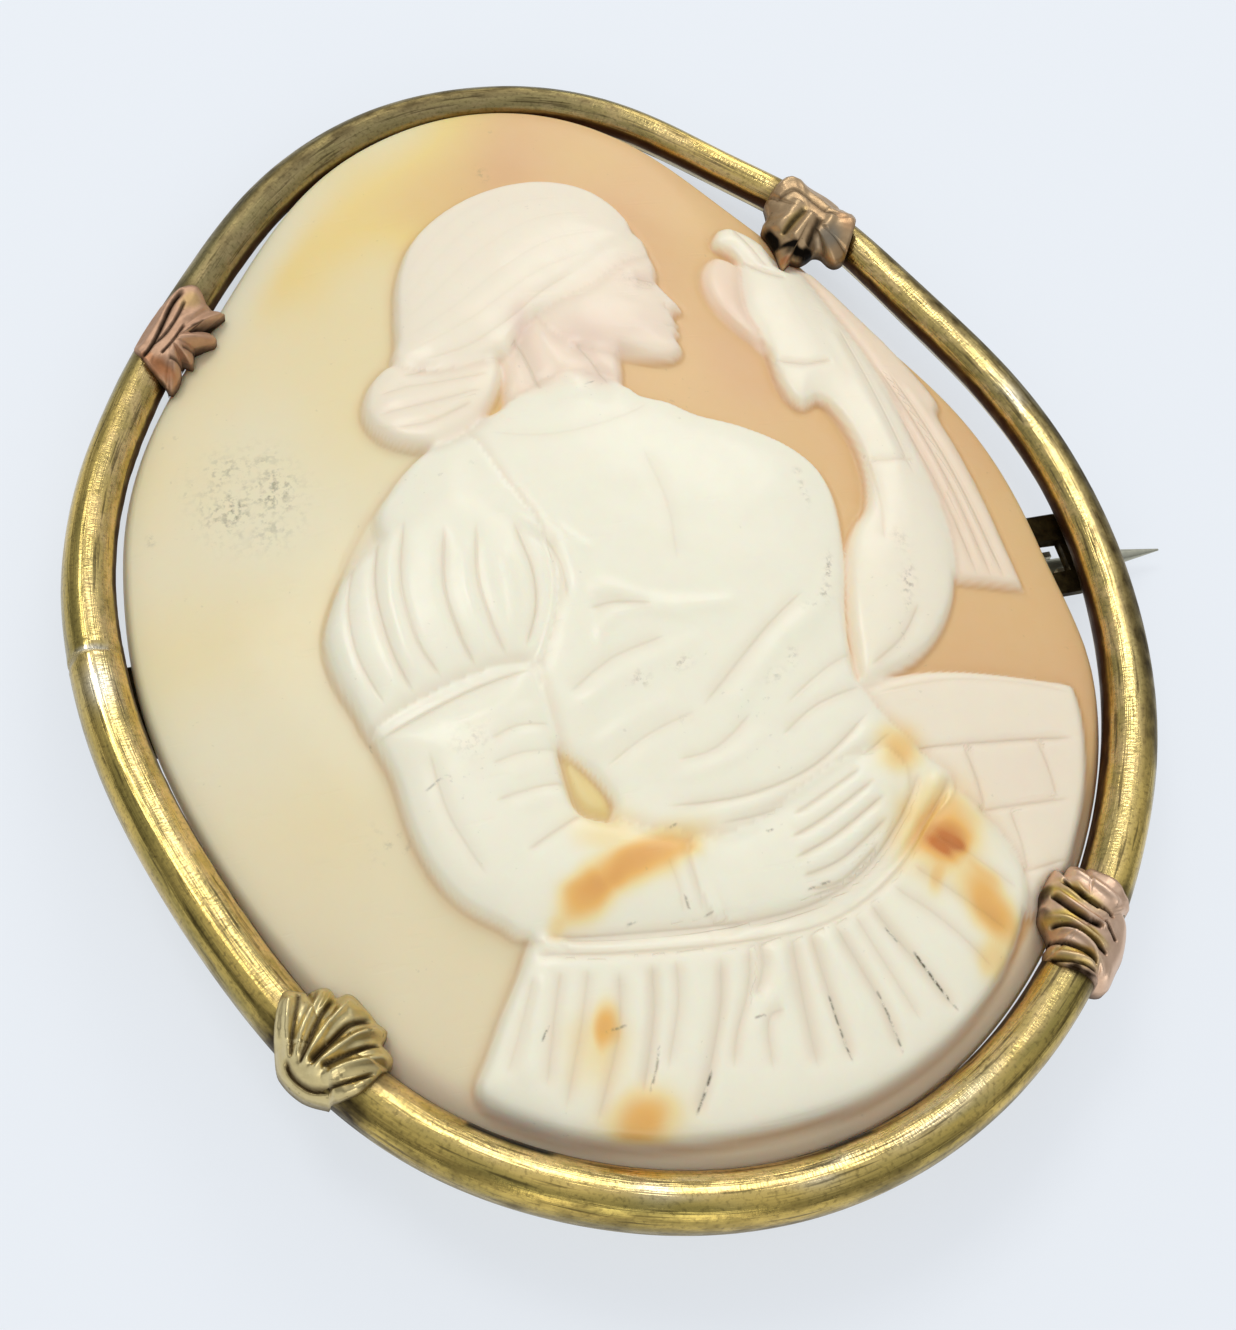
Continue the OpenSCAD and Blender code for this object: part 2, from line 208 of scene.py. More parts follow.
def inside(P, outline, reach=4.0):
    """Signed distance to a closed outline, positive inside and never under -reach."""
    line = curve(outline, True)
    near = near_line(P, line, reach)
    Q = P[near]
    odd = np.zeros(len(Q), bool)
    for a, b in zip(line, np.roll(line, -1, 0)):
        if a[1] != b[1]:
            crossed = (a[1] > Q[:, 1]) != (b[1] > Q[:, 1])
            odd ^= crossed & (Q[:, 0] < (b[0] - a[0]) * (Q[:, 1] - a[1]) / (b[1] - a[1]) + a[0])
    depth = np.full(len(P), -reach)
    dist = to_line(Q, line, True)[0]
    depth[near] = np.where(odd, dist, -dist)
    return depth


def taper(along, ends):
    """0 at both ends of a line and 1 between them."""
    return smooth(np.minimum(along, 1 - along) / ends)


def stroke(P, points, width, ends=0.18):
    """A soft line through the points, 1 along its middle. It thins out at both ends."""
    line = curve(points, False, 5)
    near = near_line(P, line, 3 * width)
    drawn = np.zeros(len(P))
    if near.any():
        dist, _, along = to_line(P[near], line)
        drawn[near] = bell(dist, width) * taper(along, ends)
    return drawn


def nearest_line(P, lines):
    """Signed distance to the nearest of several lines and its strength, for the finish to draw it finely."""
    off, strength = np.full(len(P), FAR), np.zeros(len(P))
    for amount, points in lines:
        line = curve(points, False, 5)
        near = near_line(P, line, FAR)
        dist, side, along = to_line(P[near], line)
        signed = dist * side
        taken = np.abs(signed) < np.abs(off[near])
        here = amount * taper(along, 0.14) * smooth((0.25 - np.abs(signed)) / 0.08)
        off[near] = np.where(taken, signed, off[near])
        strength[near] = np.where(taken, here, strength[near])
    return off, strength


def cut_lines(P, lines):
    """The nearest cut line of a table, fainter where the cut is shallow."""
    return nearest_line(P, [(min(1.0, -depth / 0.13), points) for depth, _, points in lines if depth < 0])


def spot(P, x, y, rx, ry, turn=0.0, power=1.0):
    """A soft oval patch, 1 in its middle."""
    c, s = math.cos(math.radians(turn)), math.sin(math.radians(turn))
    u, v = P[:, 0] - x, P[:, 1] - y
    q = ((u * c + v * s) / rx) ** 2 + ((v * c - u * s) / ry) ** 2
    return np.exp(-q ** power)


def strongest(P, table):
    """The strongest of several patches at each point: x, y, two radii, turn, strength."""
    return np.max([strength * spot(P, *place) for *place, strength in table], 0)


def lattice_noise(P, size, seed):
    """Smooth value noise from -1 to 1 with one random value per lattice point."""
    table = np.random.default_rng(seed).uniform(-1, 1, (64, 64))
    q = np.asarray(P, float) / size
    i, j = np.floor(q).astype(int).T
    f, g = smooth(q - np.floor(q)).T
    a, b, c, d = (table[(i + di) % 64, (j + dj) % 64] for dj in (0, 1) for di in (0, 1))
    return (a * (1 - f) + b * f) * (1 - g) + (c * (1 - f) + d * f) * g


# ---------------------------------------------------------------- the carving
# Outlines and lines of the carved figure, in millimetres from DRAWN_FROM.

WALL = (
    (8, -8.4), (9.5, -8.2), (12, -8.05), (14, -8.2), (16, -8.5), (18, -8.9), (19.6, -9.25), (19.95, -9.6),
    (19.8, -11.3), (19, -13.8), (17.6, -16.4), (16, -18.5), (13.5, -19.8), (9, -18), (7, -13))
DRAPE = (
    (12.5, 16.9), (14.5, 16.9), (15.9, 15.1), (17.1, 12.7), (18.1, 10.2), (18.8, 8.2), (19, 7), (18.65, 6.2),
    (18.9, 4.2), (19.15, 1.5), (19.3, -1.8), (19.35, -4), (19.2, -4.2), (17.2, -3.9), (15.4, -3.5),
    (14.5, -2), (14, 2), (12.6, 8), (11.6, 13))
SKIRT = (
    (-8.3, -16.7), (-9, -17.9), (-10, -19.3), (-10.9, -20.7), (-11.65, -21.9), (-11.3, -22.8), (-10, -23.8),
    (-8, -24.9), (-5, -25.85), (-2, -26.3), (1, -26.35), (4, -26.05), (7, -25.1), (9.5, -23.8), (11.8, -22),
    (13.4, -20), (14.05, -18.3), (13.9, -16.9), (13, -15.2), (11.6, -13.4), (9.5, -11.6), (0, -13), (-7, -15))
BACK = (
    (-3.2, 8.7), (-5.5, 7.9), (-7.5, 7), (-9.5, 5.2), (-10.5, 3), (-9, -3), (-6, -8), (-5, -9.4),
    (-4.3, -10.2), (-3.7, -11.3), (-3.6, -12.2), (-5, -14), (-7, -17), (-5, -18), (0, -18.7), (4.5, -18.7),
    (8, -17), (10.2, -15.2), (12, -13.6), (10.9, -11.9), (9.6, -10), (9, -8.3), (9.15, -6.5), (9.6, -4.5),
    (10.4, -2), (10.9, 0.4), (10.95, 2), (10.5, 3.4), (9.3, 4.8), (7.5, 5.95), (5.6, 6.8), (4.4, 7.7),
    (3.2, 8.25), (2.6, 8.9), (0, 9.8))
NECK = (
    (-4, 7.2), (-3.4, 9), (-3, 11), (-2.6, 13), (0, 14), (3, 12), (2.9, 10.2), (2.65, 9), (2.7, 8.2),
    (3.6, 7.4), (2, 6), (-2, 6))
FACE = (
    (6.3, 18.6), (6.44, 17.6), (6.5, 16.8), (6.44, 16.1), (6.24, 15.5), (6.42, 14.9), (6.7, 14.25),
    (6.98, 13.65), (6.93, 13.4), (6.52, 13.2), (6.38, 13), (6.44, 12.7), (6.52, 12.48), (6.32, 12.28),
    (6.42, 12.08), (6.36, 11.86), (6.1, 11.6), (6.2, 11.2), (6.18, 10.75), (5.9, 10.35), (5.3, 10.12),
    (4.2, 10.25), (2.9, 10.6), (1.5, 11.2), (0.3, 12.1), (-0.3, 13.3), (-0.6, 15), (1, 19), (4.5, 20))
HAIR = (
    (-7.85, 12.4), (-7.5, 13.6), (-7.15, 15.5), (-6.55, 17.8), (-5.4, 20), (-3.6, 21.7), (-1.4, 22.85),
    (1, 23.35), (3, 23.1), (4.6, 22.2), (5.6, 20.8), (6.2, 19.1), (6.42, 17.7), (5.9, 17.1), (4.9, 16.7),
    (3.9, 16.1), (3, 15.4), (1.9, 14.8), (0.7, 14.3), (-0.5, 13.6), (-1.6, 12.7), (-2.5, 11.5), (-4.4, 11.2),
    (-6.4, 11.3))
ROLL = (
    (-7.7, 12.5), (-8.9, 11.8), (-9.65, 10.6), (-9.8, 9.4), (-9.2, 8.1), (-8, 7.2), (-6.7, 6.9), (-5.3, 7.4),
    (-4.1, 8.4), (-3.2, 9.7), (-2.8, 10.9), (-3.1, 11.8), (-4.6, 11.9), (-6.2, 11.7))
THUMB = (
    (10.4, 17.3), (9.5, 17.1), (8.8, 16.2), (8.5, 15), (8.65, 13.6), (9.2, 12.3), (9.9, 11.2), (10.6, 10.3),
    (11.8, 12), (11.6, 16))
ARM = (
    (9, -8.4), (9.15, -6.4), (9.7, -4), (10.5, -1.6), (11.3, -0.35), (12.3, 0.7), (12.9, 2.4), (13.05, 4.3),
    (12.75, 6.2), (12.2, 7.1), (11.25, 6.75), (10.65, 7.3), (10.4, 8.4), (10.45, 9.9), (10.5, 11.6),
    (10.3, 13.1), (10.55, 14.8), (10.95, 16.2), (10.8, 17.2), (10.05, 17.95), (10.2, 18.6), (10.8, 19.25),
    (11.5, 19.3), (12.4, 18.7), (13.3, 17.6), (14.35, 15.9), (15.1, 13.2), (15.8, 10.4), (16.2, 7.4),
    (16.35, 4), (16.4, 1), (16.2, -1.6), (15.4, -4.2), (14.1, -6.1), (12.4, -7.5), (10.6, -8.2))
SLEEVE = (
    (-5.6, 7.4), (-7.4, 6.9), (-9.4, 5.4), (-11.4, 3.1), (-12.9, 0.6), (-13.8, -1.4), (-13.75, -3.4),
    (-13.2, -5.2), (-12.7, -6.8), (-11.6, -6.65), (-10.5, -6.25), (-8, -5.6), (-5.6, -5.2), (-4.9, -4.9),
    (-4.2, -3.7), (-3.5, -2), (-3.25, 0), (-3.6, 1.8), (-4.4, 4))
FOREARM = (
    (-12.65, -6.9), (-12.25, -8.6), (-12.05, -11), (-11.5, -13.1), (-10.6, -14.7), (-9.3, -15.9),
    (-8.3, -16.7), (-5, -17.45), (-2, -17.85), (0.2, -18), (0.25, -16), (0.1, -14.3), (-2, -13.5),
    (-3.7, -12.6), (-4.85, -11.95), (-5.15, -10.6), (-5.1, -8), (-5.3, -5.8), (-5.7, -4.9), (-8, -5),
    (-10.5, -5.6), (-12.4, -6.3))
HAND = (
    (-0.6, -14.2), (1, -14.3), (2.6, -13.9), (4.5, -13), (6.5, -12.1), (8.2, -11.7), (9.4, -11.9),
    (9.7, -12.9), (9.3, -14.2), (8.3, -15.6), (6.9, -16.8), (5, -17.7), (3, -18.1), (0, -17.95),
    (-0.8, -16.5))
SLIT = (
    (-5.05, -9.2), (-4.6, -9.6), (-4.1, -10.4), (-3.6, -11.4), (-3.65, -12.25), (-4.5, -11.95),
    (-5.05, -10.8))

# Lines cut into a form (depth under 0) or raised on it (over 0): depth, width, points.
WALL_LINES = (
    (-0.14, 0.16, ((9.8, -11.75), (13, -11.85), (16, -11.95), (18.9, -12.1))),
    (-0.1, 0.14, ((12.4, -15), (14, -14.95), (17.6, -14.9))),
    (-0.1, 0.14, ((13, -11.9), (13.15, -13.4), (13.1, -14.9))),
    (-0.1, 0.14, ((16.8, -12), (16.95, -13.4), (16.9, -14.8))),
    (-0.09, 0.14, ((14.3, -15), (14.4, -16.5), (14.3, -18))),
    (-0.06, 0.14, ((9.4, -9), (13, -8.75), (17, -9.2), (19.6, -9.9))),
    (-0.08, 0.14, ((12, -17.8), (14, -17.9), (16.5, -17.6))))
DRAPE_LINES = (
    (-0.14, 0.2, ((15.5, 9.5), (16.3, 5), (16.8, 0.5), (16.85, -3.7))),
    (-0.126, 0.19, ((16.2, 9.5), (17, 5), (17.45, 0.5), (17.6, -3.9))),
    (-0.119, 0.19, ((16.7, 9), (17.5, 5), (18.05, 0.5), (18.3, -3.9))),
    (0.07, 0.19, ((15.9, 9.8), (16.7, 5), (17.1, 0.5), (17.2, -3.8))),
    (0.084, 0.2, ((16.5, 9.5), (17.3, 5), (17.75, 0.5), (17.95, -3.9))),
    (0.056, 0.2, ((17.3, 8.5), (18, 5), (18.6, 0.5), (18.85, -3.9))))
SKIRT_LINES = (
    (-0.08, 0.3, ((-8.4, -18.2), (-9.3, -20), (-10.4, -22))),
    (-0.13, 0.3, ((-7.3, -18.3), (-8, -20.2), (-8.9, -22.8))),
    (-0.12, 0.3, ((-6.2, -18.5), (-6.9, -20.5), (-8.4, -23.9))),
    (-0.15, 0.3, ((-5, -18.9), (-5.6, -21.4), (-7.3, -24.7))),
    (-0.2, 0.3, ((-3.6, -18.9), (-4, -21), (-5.2, -24))),
    (-0.13, 0.3, ((-2.6, -19), (-2.9, -20.7), (-4, -23.3))),
    (-0.22, 0.3, ((-0.7, -19.2), (-1.2, -21.2), (-2.3, -23.6), (-3.3, -25.3))),
    (-0.16, 0.3, ((0.6, -18.9), (0.2, -20.6), (-0.8, -22.4), (-1.3, -23.8))),
    (-0.192, 0.342, ((1.1, -18.8), (0.95, -20), (0.3, -21.2))),
    (-0.208, 0.378, ((2.5, -18.9), (2.3, -21.5), (2.2, -24.6))),
    (-0.13, 0.3, ((1.4, -21.9), (0.6, -22.2), (0.3, -24.2))),
    (-0.22, 0.3, ((3.3, -18.8), (3.45, -21.5), (3.75, -24.6))),
    (-0.2, 0.3, ((4.4, -18.8), (5, -20.5), (5.6, -22.5), (6, -24.7))),
    (-0.12, 0.3, ((5.4, -18.6), (6.1, -20.6), (7.2, -23.6))),
    (-0.22, 0.3, ((6.2, -18.2), (7.4, -20.6), (9, -23.4))),
    (-0.13, 0.3, ((7.4, -17.7), (9.4, -19.6), (11.2, -21.9))),
    (-0.13, 0.3, ((8.6, -17), (10.5, -18.7), (12.4, -20.5))),
    (-0.1, 0.3, ((9.9, -15.8), (11.8, -17.2), (13.4, -18.7))),
    (0.1, 0.3, ((1.75, -19.1), (1.6, -20.8), (0.8, -21.6), (-0.4, -22.9))),
    (0.09, 0.3, ((-4.2, -19.2), (-4.7, -21.4), (-5.8, -24))),
    (0.09, 0.3, ((-1.9, -19.2), (-2.2, -21.3), (-3.2, -23.6))),
    (0.1, 0.3, ((3.9, -18.9), (4.3, -21), (4.8, -23.6))),
    (0.08, 0.3, ((-8, -18.3), (-8.8, -20.2), (-9.7, -22.4))))
BACK_LINES = (
    (0.128, 0.324, ((-2.3, -2), (-1.2, -2.4), (0.2, -3.3), (2.6, -3.9), (4.6, -3.9))),
    (0.112, 0.234, ((-2.3, -5.4), (-2.1, -4.2), (-1, -3.6), (0.8, -3.9), (2.4, -4.5))),
    (-0.096, 0.306, ((-2.4, -3.2), (-1.2, -3.1), (0.4, -3.5))),
    (0.08, 0.36, ((-4.3, -7.8), (-2, -6.6), (0.4, -6), (2.4, -5.2))),
    (-0.08, 0.36, ((-4.2, -6.9), (-2, -5.7), (0.6, -5.1))),
    (0.128, 0.378, ((2.5, -9), (4, -7.6), (5.6, -6.2), (8.2, -4.4))),
    (-0.096, 0.36, ((1.3, -8.7), (3.2, -7.1), (5.4, -5.3), (7.6, -3.8))),
    (0.064, 0.324, ((3.4, -6.3), (5.2, -5.2), (7.6, -4))),
    (0.08, 0.306, ((-3.9, -9.6), (-1.8, -8.6), (0.2, -8))),
    (-0.064, 0.306, ((-3.4, -10.4), (-1.2, -9.4), (1, -8.8))),
    (0.104, 0.22, ((-0.9, -11.6), (1, -11.4), (2.6, -10.9), (3.9, -10))),
    (-0.08, 0.27, ((-0.4, -10.8), (1.4, -10.6), (3.4, -9.3))),
    (-0.096, 0.306, ((4.4, -10.6), (6.4, -9.4), (9, -8.6))),
    (-0.128, 0.27, ((-1.5, -12.7), (2, -12.9), (5.5, -12.1), (8.9, -9.9))),
    (0.128, 0.22, ((-0.6, -13.4), (3, -13.2), (6.2, -12.1), (9.4, -10.2))),
    (-0.104, 0.22, ((0.4, -13.9), (3.4, -13.7), (6.6, -12.6), (9.9, -10.8))),
    (-0.072, 0.27, ((9.4, -6.8), (7.4, -7.7), (5, -9.2))),
    (0.064, 0.36, ((9.3, -2.4), (8.2, -4.6), (6.2, -6.4))),
    (-0.08, 0.27, ((-3.6, 1.2), (-3.1, -0.6), (-3.2, -2.4))),
    (0.08, 0.22, ((-2.9, 1.3), (-2.2, 0.4), (-1.5, -0.4))),
    (-0.04, 0.36, ((-4.6, 7), (-2, 6.2), (1, 6.4), (3.4, 7.4))),
    (-0.048, 0.45, ((2.2, 4.6), (2.5, 1.5), (2.1, -1.6))))
BAND_LINES = (
    (0.16, 0.26, ((-8.2, -16.95), (-5, -17.75), (0, -18.4), (4, -18.35), (7, -17.1), (9.4, -15.1),
        (11.6, -12.9))),
    (-0.16, 0.2, ((-7.6, -16.85), (-5, -17.35), (0, -17.98), (3.6, -17.9), (6.4, -16.9), (8.8, -14.9),
        (10.4, -12.9))),
    (-0.128, 0.2, ((-8.3, -17.45), (-5, -18.2), (0, -18.85), (4.2, -18.75), (7.5, -17.4), (10, -15.2),
        (12, -13.1))))
ARM_LINES = (
    (-0.1, 0.22, ((10.6, 9.7), (12, 9.2), (13.6, 9.4))),
    (-0.07, 0.2, ((13.1, 3.2), (14.4, 3), (15.9, 3.2))),
    (-0.06, 0.3, ((12.4, -1.6), (13, 0.6), (13.4, 3.6))),
    (-0.07, 0.3, ((14.9, 12), (15.2, 7), (15.4, 2))),
    (0.07, 0.3, ((14.2, 12), (14.6, 7), (14.8, 2))),
    (-0.12, 0.2, ((11.1, 16.6), (12.1, 15.6), (13.1, 15.2))),
    (-0.08, 0.2, ((11.4, 18.9), (12, 17.4), (12.3, 16))),
    (-0.1, 0.24, ((9.6, -7.8), (11.6, -6.6), (13, -5))))
SLEEVE_LINES = (
    (-0.08, 0.204, ((-11.6, 2.2), (-12.5, -0.4), (-12.6, -3), (-11.9, -5.6))),
    (-0.12, 0.19, ((-10.3, 3.3), (-11.2, 0.2), (-11.2, -3), (-10.6, -5.4))),
    (-0.104, 0.19, ((-9.2, 3.4), (-10.1, 0), (-10, -3), (-9.3, -5))),
    (-0.12, 0.204, ((-7.6, 2.4), (-8.3, -0.6), (-8.2, -3), (-7.8, -4.8))),
    (-0.096, 0.204, ((-6.2, 2.2), (-6.8, -0.6), (-6.7, -3), (-6.4, -4.6))),
    (-0.12, 0.19, ((-4.6, 2), (-4.3, -0.6), (-4.6, -2.6), (-5.5, -4.4))),
    (0.08, 0.19, ((-9.6, 3.4), (-10.6, 0), (-10.6, -3), (-10, -5.2))),
    (0.096, 0.19, ((-6.9, 1.4), (-7.4, -0.8), (-7.3, -3), (-7, -4.8))),
    (0.096, 0.221, ((-5.4, 0.6), (-5.5, -1.4), (-5.8, -3.6))),
    (0.096, 0.19, ((-3.9, 1), (-3.75, -0.8), (-4.1, -2.6), (-5, -4.4))),
    (0.064, 0.19, ((-12.2, 1), (-13, -1.4), (-12.8, -4.6))))
FOREARM_LINES = (
    (0.08, 0.18, ((-12.4, -6.55), (-10.5, -5.95), (-8, -5.3), (-5.7, -4.95))),
    (-0.128, 0.18, ((-12.6, -7), (-10.5, -6.35), (-8, -5.7), (-5.4, -5.35))),
    (0.064, 0.26, ((-9.6, -7.2), (-7.6, -6.9), (-5.9, -6.2))),
    (0.072, 0.18, ((-7.2, -7.4), (-6.2, -7.2), (-5.3, -7.3))),
    (-0.072, 0.18, ((-8, -8.3), (-6.8, -7.95), (-5.3, -8))),
    (0.064, 0.18, ((-7.2, -8.6), (-6.2, -8.4), (-5.3, -8.5))),
    (-0.064, 0.18, ((-8.2, -9.4), (-6.9, -9.15), (-5.2, -9.2))),
    (0.072, 0.18, ((-7.6, -10.1), (-6.4, -9.85), (-5.2, -10))),
    (-0.08, 0.18, ((-8.4, -11), (-6.9, -10.8), (-5.2, -10.7))),
    (0.072, 0.18, ((-7.6, -11.5), (-6.4, -11.3), (-5.2, -11.3))),
    (-0.096, 0.2, ((-4.9, -12.2), (-6, -12.7), (-7.6, -13.4))),
    (-0.064, 0.3, ((-10.6, -8), (-10.4, -11), (-9.4, -14))),
    (-0.048, 0.18, ((-1.9, -14.9), (-1.75, -16), (-1.8, -17.2))),
    (0.048, 0.18, ((-1.45, -15), (-1.3, -16), (-1.4, -17.2))),
    (-0.048, 0.18, ((-1.05, -15), (-0.9, -16), (-1, -17.3))),
    (0.08, 0.18, ((-0.6, -14.3), (-0.35, -15.4), (-0.35, -16.6), (-0.5, -17.8))),
    (-0.096, 0.18, ((-0.05, -14.4), (0.1, -15.4), (0.1, -16.6), (0, -17.9))))
HAND_LINES = (
    (-0.119, 0.17, ((3.9, -14.1), (5.6, -13.4), (7.6, -12.5))),
    (-0.153, 0.17, ((3.5, -15.1), (5.4, -14.4), (8.1, -13.1))),
    (-0.162, 0.17, ((3.4, -16), (5.5, -15.3), (8.4, -13.8))),
    (-0.153, 0.17, ((3.5, -16.8), (5.6, -16.3), (8.2, -14.8))),
    (-0.136, 0.17, ((3.8, -17.35), (5.4, -17.15), (7.6, -15.8))),
    (0.068, 0.2, ((3.6, -14.6), (5.5, -13.9), (7.8, -12.8))),
    (0.085, 0.2, ((3.5, -15.6), (5.5, -14.85), (8.2, -13.4))),
    (0.085, 0.2, ((3.5, -16.4), (5.6, -15.8), (8.3, -14.3))),
    (0.043, 0.4, ((1, -15), (1.4, -16), (1.2, -17))))
HAIR_LINES = (
    (-0.026, 0.24, ((-7, 12.6), (-4.4, 13.4), (-1.8, 15), (0.6, 16.4), (3.4, 17.4))),
    (-0.018, 0.26, ((-7, 13.4), (-4.4, 14.6), (-1.6, 16.6), (1.4, 18.2), (4.4, 18.6))),
    (-0.014, 0.28, ((-6.9, 14.4), (-4.8, 16), (-2, 18.2), (1, 19.8), (4.4, 20))),
    (-0.012, 0.3, ((-6.6, 15.6), (-5, 17.4), (-2.6, 19.6), (0.4, 21.2), (3.6, 21.2))),
    (-0.01, 0.3, ((-6.2, 17.2), (-4.8, 19), (-2.6, 20.9), (-0.2, 22.2))),
    (-0.044, 0.22, ((-6.6, 11.9), (-4.2, 12.2), (-2, 13.4), (0.2, 15), (2.6, 16.2))),
    (0.033, 0.22, ((-4.6, 11.7), (-2.6, 12.3), (-1, 13.6), (0.8, 14.8), (3, 15.8))))
ROLL_LINES = (
    (-0.112, 0.2, ((-7.7, 11.2), (-5, 11.6), (-2.9, 11.4))),
    (-0.072, 0.19, ((-9, 10.4), (-7.4, 10.5), (-5.4, 10.4), (-3.6, 10.4))),
    (-0.072, 0.19, ((-9.2, 9.3), (-7.4, 9.3), (-5.6, 9.4), (-4.2, 9.5))),
    (-0.072, 0.19, ((-8.6, 8.3), (-7.2, 8.2), (-5.8, 8.5), (-4.8, 8.9))),
    (0.064, 0.19, ((-6.4, 8.6), (-5.4, 9), (-4.4, 9.8))),
    (0.056, 0.19, ((-8.9, 9.9), (-7.4, 9.9), (-5.4, 9.9))))
NECK_LINES = (
    (0.112, 0.55, ((-0.9, 12.6), (-0.3, 10.6), (0.5, 8.4))),
    (-0.21, 0.55, ((-2, 12.6), (-1.7, 10.8), (-1.5, 9))),
    (-0.154, 0.5, ((0.9, 11.6), (1.4, 10.2), (1.8, 8.8))))
FACE_LINES = (
    (-0.11, 0.45, ((5, 15.35), (5.6, 15.25), (6.1, 15.2))),
    (0.05, 0.24, ((4.6, 16), (5.4, 16.2), (6.2, 16))),
    (0.035, 0.26, ((4.95, 15.05), (5.4, 15.15), (5.8, 14.98))),
    (-0.05, 0.2, ((4.85, 14.85), (5.3, 14.72), (5.8, 14.8))),
    (-0.06, 0.2, ((6.1, 13.8), (5.98, 13.5), (6.2, 13.25))),
    (-0.06, 0.2, ((5.6, 12.22), (5.9, 12.27), (6.25, 12.26))),
    (0.05, 0.9, ((4.4, 14), (3.9, 12.8), (3.7, 11.8))))

# Each form of the carving, from the lowest to the one on top: outline, height at
# its edge, rise, how far in it rises, width of its steep side, white layer, thinness, lines.
FORMS = (
    (WALL, 0.42, 0.14, 0.6, 0.26, 0.90, 0.30, WALL_LINES),
    (DRAPE, 0.32, 0.28, 1.8, 0.28, 0.80, 0.7, DRAPE_LINES),
    (THUMB, 0.18, 0.38, 1.2, 0.50, 0.80, 1.0, ()),
    (SKIRT, 0.45, 0.66, 3.0, 0.28, 1.0, 0.0, SKIRT_LINES),
    (ARM, 0.36, 0.72, 3.0, 0.28, 0.96, 0.22, ARM_LINES),
    (NECK, 0.34, 0.36, 2.0, 0.36, 0.95, 1.0, NECK_LINES),
    (BACK, 0.45, 0.72, 5.0, 0.28, 1.0, 0.0, BACK_LINES),
    (SLEEVE, 0.45, 0.92, 4.0, 0.28, 1.0, 0.0, SLEEVE_LINES),
    (FOREARM, 0.48, 0.90, 3.2, 0.28, 1.0, 0.0, FOREARM_LINES),
    (HAND, 0.75, 0.55, 2.4, 0.36, 1.0, 0.0, HAND_LINES),
    (FACE, 0.32, 0.56, 2.8, 0.26, 0.95, 0.8, FACE_LINES),
    (ROLL, 0.38, 0.60, 1.9, 0.30, 0.96, 0.6, ROLL_LINES),
    (HAIR, 0.46, 0.80, 4.4, 0.30, 0.98, 0.5, HAIR_LINES))

# Patches: x, y, two radii, turn, strength. Brown and yellow stains.
STAINS = (
    (-3.1, -14.75, 2.7, 0.95, 14, 0.72), (-5.4, -15.6, 1.5, 0.95, 26, 0.66), (-1, -14.5, 0.8, 0.6, 0, 0.4),
    (-4, -13.2, 1.6, 1.1, -20, 0.25), (-6.9, -16.4, 0.6, 0.5, 30, 0.3), (9.8, -11.7, 1.25, 1.1, 30, 0.5),
    (10.5, -16.1, 1.4, 1.25, 35, 0.78), (10.4, -15.6, 2.4, 2, 40, 0.46), (10.25, -16.5, 0.25, 0.85, 38, 0.95),
    (10.8, -16.2, 0.2, 0.7, 38, 0.9), (11.2, -16.4, 0.16, 0.5, 38, 0.85), (9.7, -17.6, 0.9, 0.5, 50, 0.4),
    (11.7, -19.4, 1.05, 2.1, 24, 0.66), (11.9, -18, 0.5, 1.4, 30, 0.45), (11.2, -21.5, 0.9, 0.9, 0, 0.36),
    (11.3, -15.4, 0.9, 1.3, 30, 0.25), (-6, -21, 0.5, 1.1, -20, 0.62), (-6.6, -21.8, 1.3, 1.7, -20, 0.22),
    (-5.4, -24.85, 1.4, 1.15, 0, 0.6), (-5.4, -24.85, 1.9, 1.3, 0, 0.2))
# Grey dirt on the surface.
DIRT_SPOTS = (
    (-1, -6.9, 0.34, 0.3, 0, 0.5), (0.9, -6.5, 0.45, 0.25, 10, 0.36), (6, -7, 0.2, 0.4, -10, 0.45),
    (4.9, -7.8, 0.5, 0.25, 20, 0.25), (9.1, -2.8, 0.16, 0.7, -22, 0.7), (8.5, -4, 0.16, 0.6, -40, 0.45),
    (9.25, 1.4, 0.13, 0.7, 0, 0.45), (9.3, 2.6, 0.2, 0.2, 0, 0.3), (12.8, -3.8, 0.3, 0.75, -28, 0.6),
    (12.4, -5, 0.15, 0.4, -20, 0.35), (13.2, -1.6, 0.4, 0.6, 0, 0.2), (7.9, -4.5, 0.7, 0.18, 12, 0.3),
    (-8.8, -8.1, 0.7, 0.6, 0, 0.22), (0.4, -9.1, 0.25, 0.15, 0, 0.3), (-5.6, 5.4, 0.12, 0.12, 0, 0.4),
    (4.6, 15.4, 0.5, 0.6, 30, 0.16), (-20.2, 6.2, 0.16, 0.3, 0, 0.5), (-0.5, 24.5, 0.25, 0.6, 10, 0.3))
# Shaded pinkish hollows of the thin layer.
HOLLOWS = (
    (-1.45, 13.1, 0.5, 1.3, -8, 0.9), (1.6, 11.9, 1.7, 1.1, -20, 0.75), (4.2, 12.2, 1.6, 1.3, 0, 0.3),
    (1.5, 9.4, 0.9, 1, 0, 0.4), (5.3, 15.3, 0.7, 0.5, 0, 0.45), (9.6, 13.6, 0.7, 2.2, -30, 0.5),
    (-4.2, 8.3, 1.6, 0.6, 40, 0.35), (16.8, 3, 0.5, 5, 5, 0.4), (15.5, -13.5, 3, 2.2, 0, 0.2))
